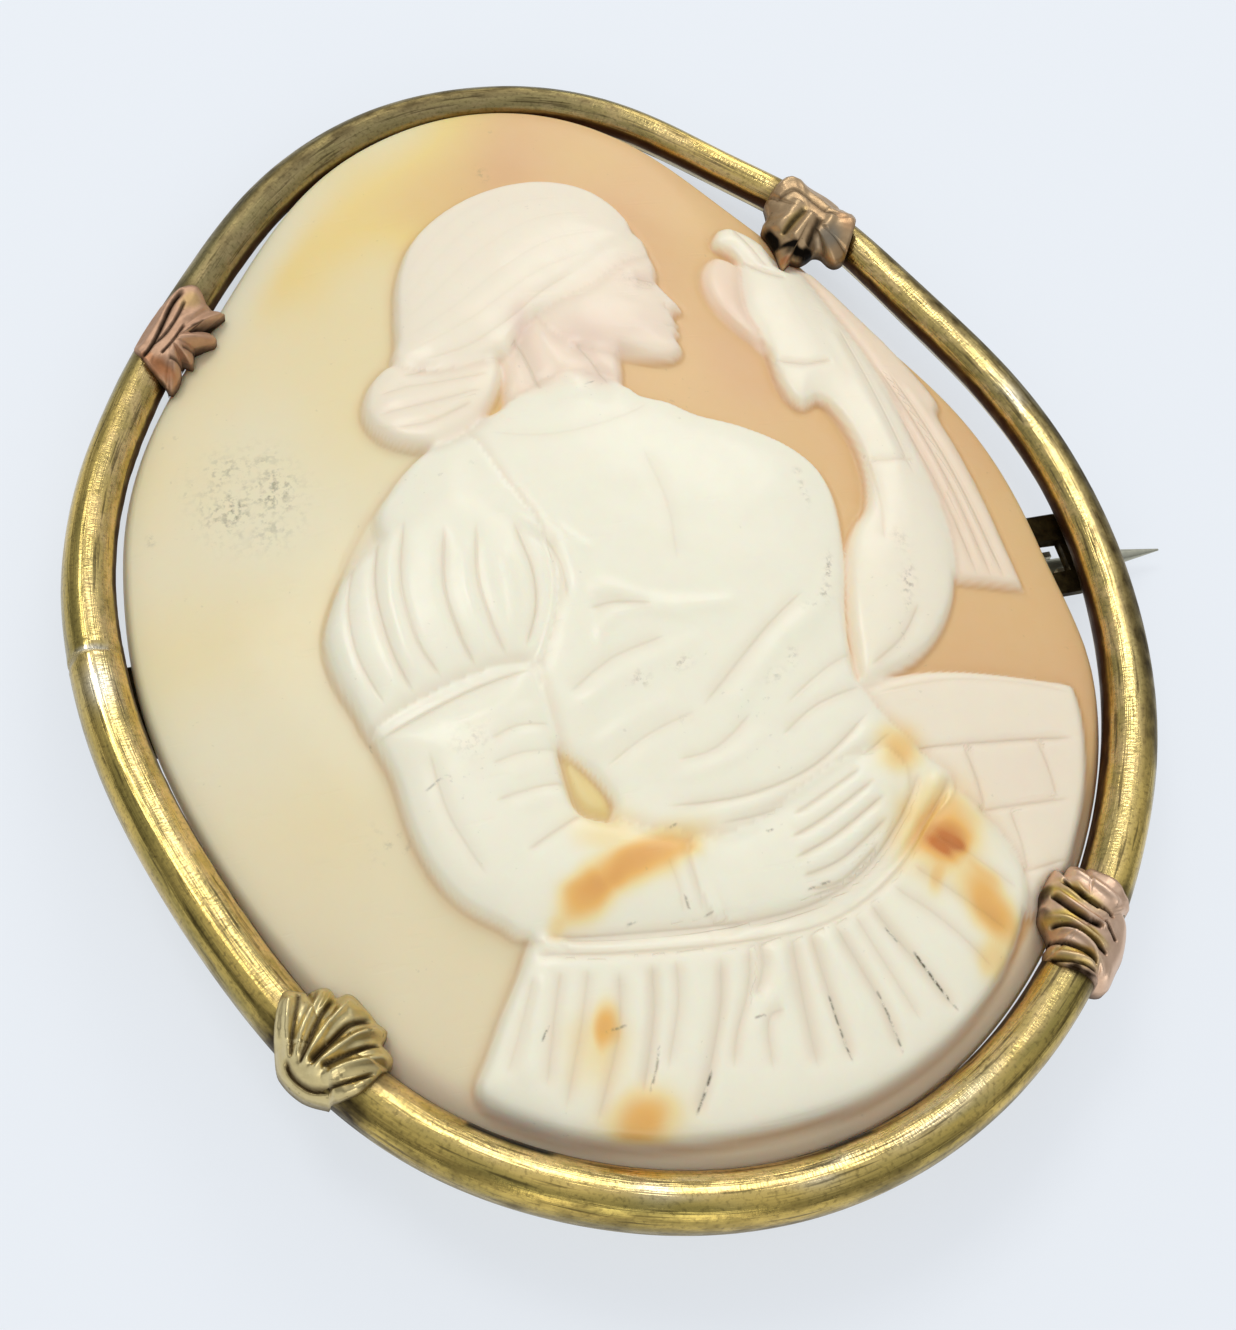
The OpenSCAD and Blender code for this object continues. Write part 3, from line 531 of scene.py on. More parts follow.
# Dirt left in cut lines: strength, points.
DIRT_LINES = (
    (0.9, ((-2.2, -23.6), (-2.7, -24.4), (-3.2, -25.1))), (0.5, ((-4.1, -22.2), (-4.4, -23), (-4.9, -23.9))),
    (0.7, ((3.4, -21.6), (3.5, -23), (3.7, -24.5))), (0.6, ((5.5, -21.8), (5.8, -23.2), (6, -24.6))),
    (1, ((7.6, -20.6), (8.2, -21.9), (8.95, -23.3))), (0.6, ((6.6, -19.4), (7.1, -20.2))),
    (0.6, ((-8.7, -21), (-8.3, -20.4))), (0.5, ((0, -22), (0.5, -21.95))),
    (0.5, ((3.6, -17.35), (4.3, -17.2), (4.8, -17.15))), (0.7, ((2.6, -14.6), (2.9, -14.55))),
    (0.6, ((-1.5, -13.6), (-1.1, -13.5))), (0.5, ((-1.6, -16.6), (-1.55, -17.1))),
    (0.5, ((-0.9, -17.5), (-0.6, -17.4))), (0.4, ((-4.3, -17.2), (-3.8, -17.1))),
    (0.4, ((-11.1, -9.8), (-10.3, -9.4), (-9.9, -9.5))), (0.5, ((-12.8, -6.7), (-12.75, -7))),
    (0.35, ((0.6, 8.9), (1.2, 9.1))), (0.5, ((-6.1, -21.2), (-5.2, -21.1))))


def side_width(outline, side, x, y):
    """Width of a form's steep side at each point. It is softer where one form runs into the next."""
    if outline is SLEEVE:
        return side + 3.4 * smooth((y - 0.5) / 4)
    if outline is BACK:
        return side + 1.8 * smooth((2.6 - np.abs(x)) / 1.5) * smooth((y - 6) / 1.5)
    if outline is HAND:
        return side + 0.8 * smooth((x - 7.5) / 2) + 0.5 * smooth((0.4 - x) / 0.6)
    if outline is FACE:
        return side + 0.8 * smooth((4.8 - x) / 2) * smooth((12.5 - y) / 1.5)
    if outline is HAIR:
        return side + 1.5 * smooth(x / 2) * smooth((19.6 - y) / 1.5)
    return side


def carve(P, relief):
    """Height of the carving over the ground at each point, with what its layers look like."""
    z, white, crease, fine_strength = (np.zeros(len(P)) for _ in range(4))
    thin = np.full(len(P), 0.5)
    figure = np.full(len(P), -4.0)
    fine = np.full(len(P), FAR)
    for outline, low, rise, run, side, layer, pale, lines in FORMS:
        d = inside(P, outline)
        h = low + rise * rounded(d / run)
        cut = np.zeros(len(P))
        for depth, width, points in lines:
            s = stroke(P, points, width)
            h = h + depth * s
            if depth < 0:
                cut = np.maximum(cut, s * min(1.0, -depth / 0.2))
        if outline is HAIR:
            h = np.maximum(h, z + 0.06)
        soft = side_width(outline, side, P[:, 0], P[:, 1])
        m = smooth(d / soft)
        lip = bell(np.minimum(d, 0), 0.35) * (d < 0) * smooth(z / 0.3)
        z = (z - 0.12 * lip) * (1 - m) + h * m
        # The crease mask darkens the white layer in cut lines and on the strip at the foot of a form where it
        # runs under the next: partly the thinner layer, partly painted shade.
        crease = np.maximum(crease * (1 - m), np.maximum(cut * m, 0.7 * lip))
        grown = smooth(d / (soft * 0.8) + 0.25)
        white = white * (1 - grown) + layer * grown
        thin = thin * (1 - grown) + pale * grown
        figure = np.maximum(figure, d)
        off, strength = cut_lines(P, lines)
        if outline is SKIRT:
            strength = 0.55 * strength
        fine = np.where(m > 0.5, off, fine)
        fine_strength = np.where(m > 0.5, strength * smooth((m - 0.5) / 0.4), fine_strength * (1 - m))
    # The waistband runs over several forms.
    on_figure = smooth(figure / 0.3)
    off, strength = cut_lines(P, BAND_LINES)
    over = strength * on_figure > fine_strength
    fine, fine_strength = np.where(over, off, fine), np.where(over, strength, fine_strength)
    for depth, width, points in BAND_LINES:
        s = stroke(P, points, width, 0.05) * on_figure
        z += depth * s
        crease = np.maximum(crease, s * (depth < 0) * 0.8)
    slit = smooth(inside(P, SLIT) / 0.35 + 0.3)
    z = z * (1 - slit) + 0.32 * slit
    white = white * (1 - 0.55 * slit)
    thin = np.maximum(thin, slit)
    # Hand work: the surface is not quite even.
    z += smooth(z / 0.4) * (0.020 * lattice_noise(P, 1.7, 3) + 0.012 * lattice_noise(P, 0.8, 4))
    return z * relief / DRAWN_RELIEF, white, thin, crease, figure, fine, fine_strength


# ---------------------------------------------------------------- mesh pieces

def make_piece(name, points, faces, finish, node, values, flat=False):
    """A mesh from points in millimetres that rides with the brooch and stands for a CAD node."""
    mesh = bpy.data.meshes.new(name)
    mesh.from_pydata(laid(points).tolist(), [], [list(map(int, f)) for f in faces])
    mesh.validate()
    mesh.update()
    for key, data in values.items():
        layer = mesh.attributes.new(key, "FLOAT", "POINT")
        layer.data.foreach_set("value", np.asarray(data, np.float32))
    mesh.polygons.foreach_set("use_smooth", [not flat] * len(mesh.polygons))
    mesh.materials.append(material_for(finish))
    piece = bpy.data.objects.new(name, mesh)
    bpy.context.scene.collection.objects.link(piece)
    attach(piece, BODY)
    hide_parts(node)


def grid_lines(n, rings):
    """Positions of n + 1 grid lines from -1 to 1, with this many cells in each bevel."""
    bevel = np.linspace(-1, -(1 - BEVEL_SHARE), rings + 1)
    face = np.linspace(-(1 - BEVEL_SHARE), 1 - BEVEL_SHARE, n - 2 * rings + 1)
    return np.concatenate([bevel[:-1], face, -bevel[:-1][::-1]])


def grid_points(n, rings):
    """Points of a square grid laid on a unit disc, so that its outer lines run round the rim."""
    lines = grid_lines(n, rings)
    u, v = (a.ravel() for a in np.meshgrid(lines, lines, indexing="ij"))
    r = np.maximum(np.abs(u), np.abs(v))
    wide = np.abs(u) >= np.abs(v)
    big = np.where(r == 0, 1, r)
    turn = np.where(wide, np.where(u > 0, 0, 180) + 45 * v / np.where(wide & (u != 0), u, big),
                    np.where(v > 0, 90, 270) - 45 * u / np.where(~wide & (v != 0), v, big))
    w = smooth((r - 0.5) / (0.5 - BEVEL_SHARE))
    a = np.radians(turn)
    x = w * r * np.cos(a) + (1 - w) * u * np.sqrt(1 - v * v / 2)
    y = w * r * np.sin(a) + (1 - w) * v * np.sqrt(1 - u * u / 2)
    return x, y


def grid_cells(n, first):
    """The square faces of a grid whose points start at this index."""
    i, j = (a.ravel() for a in np.meshgrid(np.arange(n), np.arange(n), indexing="ij"))
    a = first + i * (n + 1) + j
    return np.stack([a, a + n + 1, a + n + 2, a + 1], 1)


def grid_loop(n):
    """Indices of a grid's outer points, in order round it."""
    k = np.arange(n)
    sides = ((k, 0), (n, k), (n - k, n), (0, n - k))
    return np.concatenate([i * (n + 1) + j for i, j in sides])


def shell_size(t, plain=False):
    """Radius of the shell's outline, as it is dressed or as the plain solid has it."""
    size = oval_r(t, SHELL_HALF_W, SHELL_HALF_H, SHELL_BENDS)
    return size if plain else size + by_angle(t, REACH)


def shell_plan(x, y, plain=False):
    """Points of the unit disc put on the shell's outline, in the frame's plan."""
    t = np.degrees(np.arctan2(SHELL_HALF_H * y, SHELL_HALF_W * x))
    r = np.hypot(x, y) * shell_size(t, plain)
    return np.stack([r * np.cos(np.radians(t)) - SHELL_SHIFT, r * np.sin(np.radians(t))], 1)


def ground_at(plan):
    """Height of the shell's uncarved face at points of the plan, and their distance from its edge."""
    x, y = plan[:, 0] + SHELL_SHIFT, plan[:, 1]
    t = np.degrees(np.arctan2(y, x))
    size = shell_size(t)
    share = np.hypot(x, y) / size
    rim = (1 - share) * size
    middle, half, rise = RAISED
    lift = rise * window(t, middle, half, 25)
    dome = GROUND_Z + DOME_H * (1 - (share / (1 - BEVEL_SHARE)) ** 2) + 0.78 * lift * bell(rim, 3.2)
    # The bevel is wide at the bottom and only a rounded edge elsewhere.
    wide = ROUNDED_W + (BEVEL_W - ROUNDED_W) * window(t, -88, 66, 34)
    bevel = np.minimum(EDGE_Z + lift + (GROUND_Z - EDGE_Z) * rim / wide, dome + 2)
    corner = 0.09
    return -corner * np.log(np.exp(-dome / corner) + np.exp(-bevel / corner)), rim


# ---------------------------------------------------------------- materials

def set_inputs(tree, n, inputs):
    """Gives a node's inputs values, or links them to sockets."""
    for key, value in inputs.items():
        if isinstance(value, bpy.types.NodeSocket):
            tree.links.new(value, n.inputs[key])
        else:
            n.inputs[key].default_value = value


def add_node(tree, kind, inputs=None, key=0, **settings):
    """Adds a node with its settings and inputs, and gives its output of this key."""
    n = tree.nodes.new(kind)
    for name, value in settings.items():
        setattr(n, name, value)
    set_inputs(tree, n, inputs or {})
    return n.outputs[key]


def ramp(tree, fac, stops):
    """A colour from a value, by a table of positions and colours."""
    colour = add_node(tree, "ShaderNodeValToRGB", {"Fac": fac})
    band = colour.node.color_ramp.elements
    while len(band) < len(stops):
        band.new(0.5)
    for e, (at, stop) in zip(band, stops):
        e.position = at
        e.color = (*stop, 1)
    return colour


def mix(tree, fac, a, b, blend="MIX"):
    a, b = (c if isinstance(c, bpy.types.NodeSocket) else (*c, 1) for c in (a, b))
    return add_node(tree, "ShaderNodeMix", {0: fac, 6: a, 7: b}, 2, data_type="RGBA", blend_type=blend)


def maths(tree, how, a, b=0.0, c=0.0, clamp=False):
    return add_node(tree, "ShaderNodeMath", {0: a, 1: b, 2: c}, operation=how, use_clamp=clamp)


def times(tree, a, b, clamp=False):
    return maths(tree, "MULTIPLY", a, b, clamp=clamp)


def multiply_add(tree, a, b, c, clamp=False):
    return maths(tree, "MULTIPLY_ADD", a, b, c, clamp)


def spread(tree, value, low, high, to_low=0.0, to_high=1.0):
    return add_node(tree, "ShaderNodeMapRange", {
        "Value": value, "From Min": low, "From Max": high, "To Min": to_low, "To Max": to_high})


def stored(tree, name):
    return add_node(tree, "ShaderNodeAttribute", key="Fac", attribute_name=name)


def noise(tree, where, size, detail, roughness=0.5):
    return add_node(tree, "ShaderNodeTexNoise", {
        "Vector": where, "Scale": size, "Detail": detail, "Roughness": roughness}, "Fac")


def place_of(tree, key="Object"):
    return add_node(tree, "ShaderNodeTexCoord", key=key)


def bump(tree, height, strength, distance, before=None):
    """Bends the surface by a height, after another bump or alone."""
    inputs = {"Height": height, "Strength": strength, "Distance": distance}
    if before is not None:
        inputs["Normal"] = before
    return add_node(tree, "ShaderNodeBump", inputs)


def srgb(r, g, b):
    """A colour from its 0 to 255 screen values."""
    return tuple(((c / 255 + 0.055) / 1.055) ** 2.4 if c > 10 else c / 255 / 12.92 for c in (r, g, b))


GROUPS = {}
MATERIALS = {}


def new_group(name, inputs, output):
    """An empty shader node group with float sockets; gives the group, its inputs and its output."""
    group = bpy.data.node_groups.new(name, "ShaderNodeTree")
    for label, value in inputs:
        socket = group.interface.new_socket(label, in_out="INPUT", socket_type="NodeSocketFloat")
        socket.default_value = value
    group.interface.new_socket(output, in_out="OUTPUT", socket_type="NodeSocketFloat")
    GROUPS[name] = group
    entry = group.nodes.new("NodeGroupInput")
    leave = group.nodes.new("NodeGroupOutput")
    return group, entry.outputs, leave.inputs[output]


def effect(tree, name, size, amount):
    """Places a shared effect in a material, at its own size."""
    second = "Contrast" if name == "tone" else "Share"
    return add_node(tree, "ShaderNodeGroup", {"Size": size, second: amount}, node_tree=GROUPS[name])


def build_groups():
    """Effects that several finishes share. Sizes are in features per metre."""
    group, given, leave = new_group("specks", (("Size", 1500.0), ("Share", 0.3)), "Mask")
    where = place_of(group)
    fine = noise(group, where, given["Size"], 2.0)
    broad = noise(group, where, 180.0, 1.0)
    both = maths(group, "ADD", fine, times(group, broad, 0.35))
    edge = maths(group, "SUBTRACT", 1.0, times(group, given["Share"], 0.4))
    group.links.new(spread(group, both, edge, maths(group, "ADD", edge, 0.05)), leave)

    group, given, leave = new_group("tone", (("Size", 300.0), ("Contrast", 1.0)), "Value")
    cloud = noise(group, place_of(group), given["Size"], 5.0, 0.62)
    centred = maths(group, "SUBTRACT", cloud, 0.5)
    group.links.new(multiply_add(group, centred, given["Contrast"], 0.5, True), leave)

    group, given, leave = new_group("scratches", (("Size", 900.0), ("Share", 0.4)), "Height")
    where = place_of(group)
    edge = maths(group, "SUBTRACT", 0.85, times(group, given["Share"], 0.5))
    layers = []
    for turn, shift in ((0.5, 0.0), (2.1, 3.0), (1.2, 7.0)):
        turned = add_node(group, "ShaderNodeMapping", {
            "Vector": where, "Location": (shift, shift, 0), "Rotation": (0, 0, turn),
            "Scale": (0.06, 1.0, 1.0)})
        lines = noise(group, turned, given["Size"], 1.0)
        layers.append(spread(group, lines, edge, maths(group, "ADD", edge, 0.06)))
    first, second, third = layers
    group.links.new(maths(group, "MAXIMUM", maths(group, "MAXIMUM", first, second), third), leave)


def start_material(name):
    material = bpy.data.materials.new(name)
    material.use_nodes = True
    return material, material.node_tree, material.node_tree.nodes["Principled BSDF"]


def metal(name, base, shade, bright, roughness, tarnish_and_shade, patches):
    """Worn soft metal: a base tone, a darker tarnish in its hollows with painted shade, and brighter rubbed
    edges with painted highlight.
    """
    material, tree, shader = start_material(name)
    base, shade, bright, tarnish_and_shade = (srgb(*c) for c in (base, shade, bright, tarnish_and_shade))
    deep = tuple(0.3 * c for c in shade)
    fine = effect(tree, "tone", 1900.0, 1.2)
    specks = effect(tree, "specks", 3000.0, 0.25)
    scratches = effect(tree, "scratches", 2600.0, 0.42)
    colour = mix(tree, spread(tree, effect(tree, "tone", 240.0, 1.3), 0.2, 0.8), base, bright)
    for key, patch in patches:
        colour = mix(tree, stored(tree, key), colour, srgb(*patch))
    colour = mix(tree, spread(tree, fine, 0.3, 0.9, 0.0, 0.35), colour, shade)
    colour = mix(tree, times(tree, stored(tree, "rub_and_sheen"), 0.5, clamp=True), colour, bright)
    uneven = times(tree, maths(tree, "SUBTRACT", fine, 0.5), 0.25)
    mask = spread(tree, maths(tree, "ADD", stored(tree, "tarnish_and_shade"), uneven), 0.1, 0.9)
    colour = mix(tree, mask, colour, tarnish_and_shade)
    colour = mix(tree, times(tree, specks, 0.5), colour, deep)
    rough = multiply_add(tree, mask, 0.3, multiply_add(tree, fine, 0.12, roughness - 0.06))
    normal = bump(tree, fine, 0.10, 0.00004)
    normal = bump(tree, times(tree, scratches, -1.0), 0.2, 0.00002, normal)
    set_inputs(tree, shader, {"Base Color": colour, "Metallic": 1.0, "Roughness": rough, "Normal": normal})
    return material


def tube_metal():
    """The tube's old brass. Its wear runs along the tube, so it is drawn in millimetres along and across it."""
    material, tree, shader = start_material("old_brass")
    along, across, band = (stored(tree, key) for key in ("along", "across", "band"))

    def streaks(stretch, size, detail, place):
        where = add_node(tree, "ShaderNodeCombineXYZ", {0: times(tree, along, stretch), 1: across, 2: place})
        return noise(tree, where, size, detail)

    broad = streaks(0.16, 0.8, 3.0, 0.0)
    drift = streaks(1.0, 0.12, 2.0, 5.0)
    thin = streaks(0.06, 5.5, 2.0, 9.0)
    hair = streaks(0.02, 16.0, 1.0, 14.0)
    patchy = streaks(0.5, 1.6, 4.0, 21.0)
    chatter = streaks(3.4, 2.6, 2.0, 30.0)
    mottle = streaks(1.0, 5.0, 3.0, 37.0)
    dull = stored(tree, "dull")
    # Darker where the stored mask says: tarnish at the seam and the solder, and painted shade on the inner
    # wall, the underside and the outer sides.
    grime_and_shade = maths(tree, "ADD", stored(tree, "tarnish_and_shade"), spread(tree, patchy, 0.35, 0.7, -0.22, 0.22))
    grime_and_shade = spread(tree, grime_and_shade, 0.12, 0.85)
    gold, olive, tan = (222, 190, 104), (160, 142, 76), (234, 200, 140)
    bright, silver_and_sheen, grey = (248, 222, 150), (222, 216, 196), (112, 106, 80)
    dark, brown, gap_shadow_black = (62, 50, 28), (66, 40, 24), (14, 10, 6)
    colour = mix(tree, spread(tree, broad, 0.38, 0.62), srgb(*olive), srgb(*gold))
    for share, layer in (
            (spread(tree, drift, 0.35, 0.7, 0.0, 0.35), olive),
            (times(tree, band, spread(tree, patchy, 0.42, 0.62, 0.15, 0.75)), tan),
            # Brighter on the inner top: partly rubbed wear, partly painted highlight.
            (times(tree, stored(tree, "rub_and_sheen"), 0.6, clamp=True), bright),
            # Silvery: solder and worn metal, partly a painted sheen.
            (stored(tree, "silver_and_sheen"), silver_and_sheen),
            # Grey on the far side and the right: partly duller metal, partly painted shade.
            (times(tree, dull, 0.7), grey),
            (times(tree, spread(tree, thin, 0.58, 0.68), 0.65), dark),
            (spread(tree, mottle, 0.5, 0.72, 0.0, 0.45), dark),
            (grime_and_shade, dark),
            # Brown on the inner wall: painted shade.
            (stored(tree, "wall"), brown),
            # Black at the bottom: painted shadow in the gaps by the shell.
            (stored(tree, "gap_shadow"), gap_shadow_black)):
        colour = mix(tree, share, colour, srgb(*layer))
    rough = multiply_add(tree, patchy, 0.22, 0.10)
    rough = multiply_add(tree, dull, 0.12, rough)
    rough = multiply_add(tree, grime_and_shade, 0.3, rough)
    normal = bump(tree, thin, 0.25, 0.00006)
    normal = bump(tree, hair, 0.35, 0.00003, normal)
    normal = bump(tree, times(tree, chatter, maths(tree, "ADD", band, 0.25)), 0.22, 0.00006, normal)
    set_inputs(tree, shader, {"Base Color": colour, "Metallic": 1.0, "Roughness": rough, "Normal": normal})
    return material


def drawn_line(tree, name, width):
    """A fine line, 1 along its middle, from the stored distance to it and its strength."""
    q = maths(tree, "DIVIDE", stored(tree, name), width)
    fall = maths(tree, "EXPONENT", times(tree, times(tree, q, q), -1.0))
    return times(tree, fall, stored(tree, name + "_strength"))


def shell_material(look):
    """The shell: a warm ground, a white layer over it, stains, dirt and fine cut lines."""
    material, tree, shader = start_material("carved_shell")
    fine = effect(tree, "tone", 900.0, 1.0)
    grain = effect(tree, "tone", 3000.0, 1.6)
    cloud = times(tree, maths(tree, "SUBTRACT", effect(tree, "tone", 70.0, 1.0), 0.5), 0.16)
    warmth = maths(tree, "ADD", stored(tree, "warmth"), cloud)
    ground = ramp(tree, warmth, ((0.0, look.cream), (0.5, look.yellow), (1.0, look.orange)))
    ground = mix(tree, stored(tree, "dusk"), ground, look.beige)
    # Paler on the lower bevel: partly its own colour, partly painted light.
    ground = mix(tree, times(tree, stored(tree, "edge"), 0.85), ground, srgb(238, 222, 190))
    cuts = drawn_line(tree, "fine", 0.075)
    white = mix(tree, stored(tree, "thin"), look.ivory, look.blush)
    # Darker in the cut lines and at the foot of each form: partly the thinner white layer, partly painted
    # shade.
    white = mix(tree, times(tree, stored(tree, "crease"), 0.42), white, look.crease)
    white = mix(tree, times(tree, cuts, 0.36), white, look.crease)
    white = mix(tree, times(tree, stored(tree, "hollow"), 0.6), white, look.hollow)
    colour = mix(tree, stored(tree, "white"), ground, white)
    colour = mix(tree, times(tree, stored(tree, "amber"), 0.44), colour, look.amber)
    stain = ramp(tree, stored(tree, "stain"), (
        (0.0, (1, 1, 1)), (0.3, srgb(255, 238, 196)), (0.62, srgb(246, 200, 122)), (1.0, srgb(212, 132, 58))))
    colour = mix(tree, 1.0, colour, stain, "MULTIPLY")
    colour = mix(tree, spread(tree, fine, 0.35, 0.8, 0.0, 0.07), colour, tuple(0.82 * c for c in look.blush))
    grey = times(tree, stored(tree, "dirt"), spread(tree, grain, 0.46, 0.70), clamp=True)
    grey = maths(tree, "MAXIMUM", grey, times(tree, effect(tree, "specks", 3200.0, 0.2), 0.12))
    marks = times(tree, drawn_line(tree, "mark", 0.055), spread(tree, grain, 0.35, 0.6))
    grey = maths(tree, "MAXIMUM", grey, times(tree, marks, 1.1, clamp=True))
    colour = mix(tree, grey, colour, look.dirt)
    bare = maths(tree, "SUBTRACT", 1.0, stored(tree, "white"))
    rough = multiply_add(tree, bare, 0.08, multiply_add(tree, fine, 0.2, 0.28))
    scratches = effect(tree, "scratches", 1900.0, 0.3)
    normal = bump(tree, fine, 0.22, 0.00005)
    normal = bump(tree, times(tree, scratches, -1.0), 0.18, 0.00003, normal)
    normal = bump(tree, times(tree, cuts, -1.0), 0.7, 0.00005, normal)
    set_inputs(tree, shader, {
        "Base Color": colour, "Roughness": rough, "Normal": normal, "IOR": 1.53, "Specular IOR Level": 0.42,
        "Subsurface Weight": 0.5, "Subsurface Radius": (1.0, 0.66, 0.42), "Subsurface Scale": 0.0011,
        "Coat Weight": 0.12, "Coat Roughness": 0.13})
    return material


def floor_material(look):
    """A matt grey board that glows, so that it reads white: the glow is painted light that fills its shadows
    and lights the brooch from below.
    """
    material, tree, shader = start_material("glowing_board")
    grain = noise(tree, place_of(tree), 900.0, 3.0)
    shade = mix(tree, spread(tree, grain, 0.3, 0.7, 0.0, 0.02), look.floor, tuple(0.8 * c for c in look.floor))
    # The emission is painted light.
    set_inputs(tree, shader, {
        "Base Color": shade, "Roughness": 0.65, "Specular IOR Level": 0.2,
        "Emission Color": (0.90, 0.945, 1.0, 1.0), "Emission Strength": 0.65})
    return material


# Patches of other colours on the claws.
CLAW_PATCHES = (("gilt", (206, 180, 92)), ("copper", (196, 136, 92)), ("grey", (128, 124, 112)))
# Finish: material's name, base, shade, bright, roughness, colour of tarnish and painted shade, patches.
METALS = {
    "brass": ("old_brass_fittings", (148, 128, 72), (98, 80, 40), (188, 168, 108), 0.3, (34, 26, 16),
              (("pale", (214, 208, 186)),)),
    "gold_claw": ("yellow_gilding", (192, 170, 112), (130, 104, 60), (228, 210, 156), 0.32, (70, 52, 28),
                  CLAW_PATCHES),
    "rose_claw": ("worn_rose_gilding", (216, 180, 150), (160, 122, 92), (240, 210, 184), 0.46, (50, 34, 18),
                  CLAW_PATCHES),
    "faded_claw": ("faded_rose_gilding", (190, 150, 122), (132, 98, 74), (214, 178, 148), 0.58, (44, 30, 18),
                   CLAW_PATCHES),
    "brown_claw": ("worn_brown_gilding", (178, 146, 108), (128, 98, 72), (206, 178, 138), 0.42, (24, 20, 16),
                   CLAW_PATCHES),
    "pin": ("dull_white_metal", (156, 154, 134), (104, 102, 84), (206, 204, 186), 0.36, (58, 56, 44), ()),
}


def material_for(name):
    """A finish by name. All of them are made when the first one is asked for."""
    if not MATERIALS:
        look = bpy.context.scene.cameo_colours
        build_groups()
        MATERIALS.update(carved_shell=shell_material(look), tube=tube_metal(), floor=floor_material(look))
        for key, settings in METALS.items():
            MATERIALS[key] = metal(*settings)
    return MATERIALS[name]


# ---------------------------------------------------------------- settings

def length(name, description, value, low, high):
    return FloatProperty(
        name=name, description=description, default=value * MM, min=low * MM, max=high * MM, subtype="DISTANCE",
        unit="LENGTH", precision=5)


def tint(name, description, r, g, b):
    return FloatVectorProperty(name=name, description=description, subtype="COLOR", default=srgb(r, g, b))


class CameoSizes(bpy.types.PropertyGroup):
    """Sizes of the parts that this script shapes."""
    relief: length("Relief", "Height of the carving over the ground", 1.5, 0.5, 1.6)
    cells: IntProperty(
        name="Carving cells", description="Cells of the carved face along each side", default=292, min=80,
        max=292)
    stations: IntProperty(
        name="Tube stations", description="Sections round the tube", default=720, min=120, max=900)
    hammer: length("Hammer marks", "Depth of the flats on the tube's inner slope", 0.022, 0, 0.1)


class CameoColours(bpy.types.PropertyGroup):
    """Colours of the finishes."""
    ivory: tint("Ivory", "The shell's thick white layer", 254, 244, 220)
    blush: tint("Blush", "The white layer where it is carved thin", 252, 230, 206)
    # Partly the thin layer's own colour, partly painted shade in the lines.
    crease: tint("Crease", "The white layer in its deepest lines", 218, 204, 176)
    hollow: tint("Hollow", "The thin white layer where it is shaded", 226, 196, 180)
    cream: tint("Cream", "The ground where it is palest", 236, 228, 196)
    yellow: tint("Yellow", "The ground between cream and orange", 240, 214, 138)
    orange: tint("Orange", "The ground where it is deepest", 228, 184, 130)
    beige: tint("Beige", "The ground towards the shell's lower edge", 230, 220, 192)
    amber: tint("Amber", "The line where the carving meets the ground", 222, 178, 118)
    dirt: tint("Dirt", "Old dirt in the lines", 110, 102, 78)
    floor: tint("Board", "The board it lies on", 138, 140, 143)


# ---------------------------------------------------------------- operators

# The camera in the frame's plan: its place in millimetres, where it looks and what is up, and its lens.
CAMERA_AT = (-22.04, -44.24, 79.67)
CAMERA_AHEAD = (0.2314, 0.4322, -0.8716)
CAMERA_UP = (0.1684, 0.8646, 0.4735)
SENSOR_W, LENS = 36.0, 54.135
BOARD_HALF = 2.5
# Square lights: name, place and size in metres, power in watts, colour.
LIGHTS = (
    ("window_light", (0.22, 0.42, 0.36), 0.22, 0.53, (1.0, 0.985, 0.96)),
    ("high_light", (-0.15, 0.30, 0.54), 0.18, 0.78, (1.0, 0.99, 0.97)),
    ("front_light", (-0.12, -0.55, 0.17), 0.34, 0.75, (0.97, 0.985, 1.0)))
# The room's colour by height, and its strength.
ROOM = (
    (0.0, (0.30, 0.31, 0.33)), (0.15, (0.34, 0.35, 0.37)), (0.5, (0.72, 0.75, 0.79)), (1.0, (0.92, 0.96, 1.02)))
ROOM_STRENGTH = 0.79
WINDOW_WALL = (0.5, 0.86, 0.0)


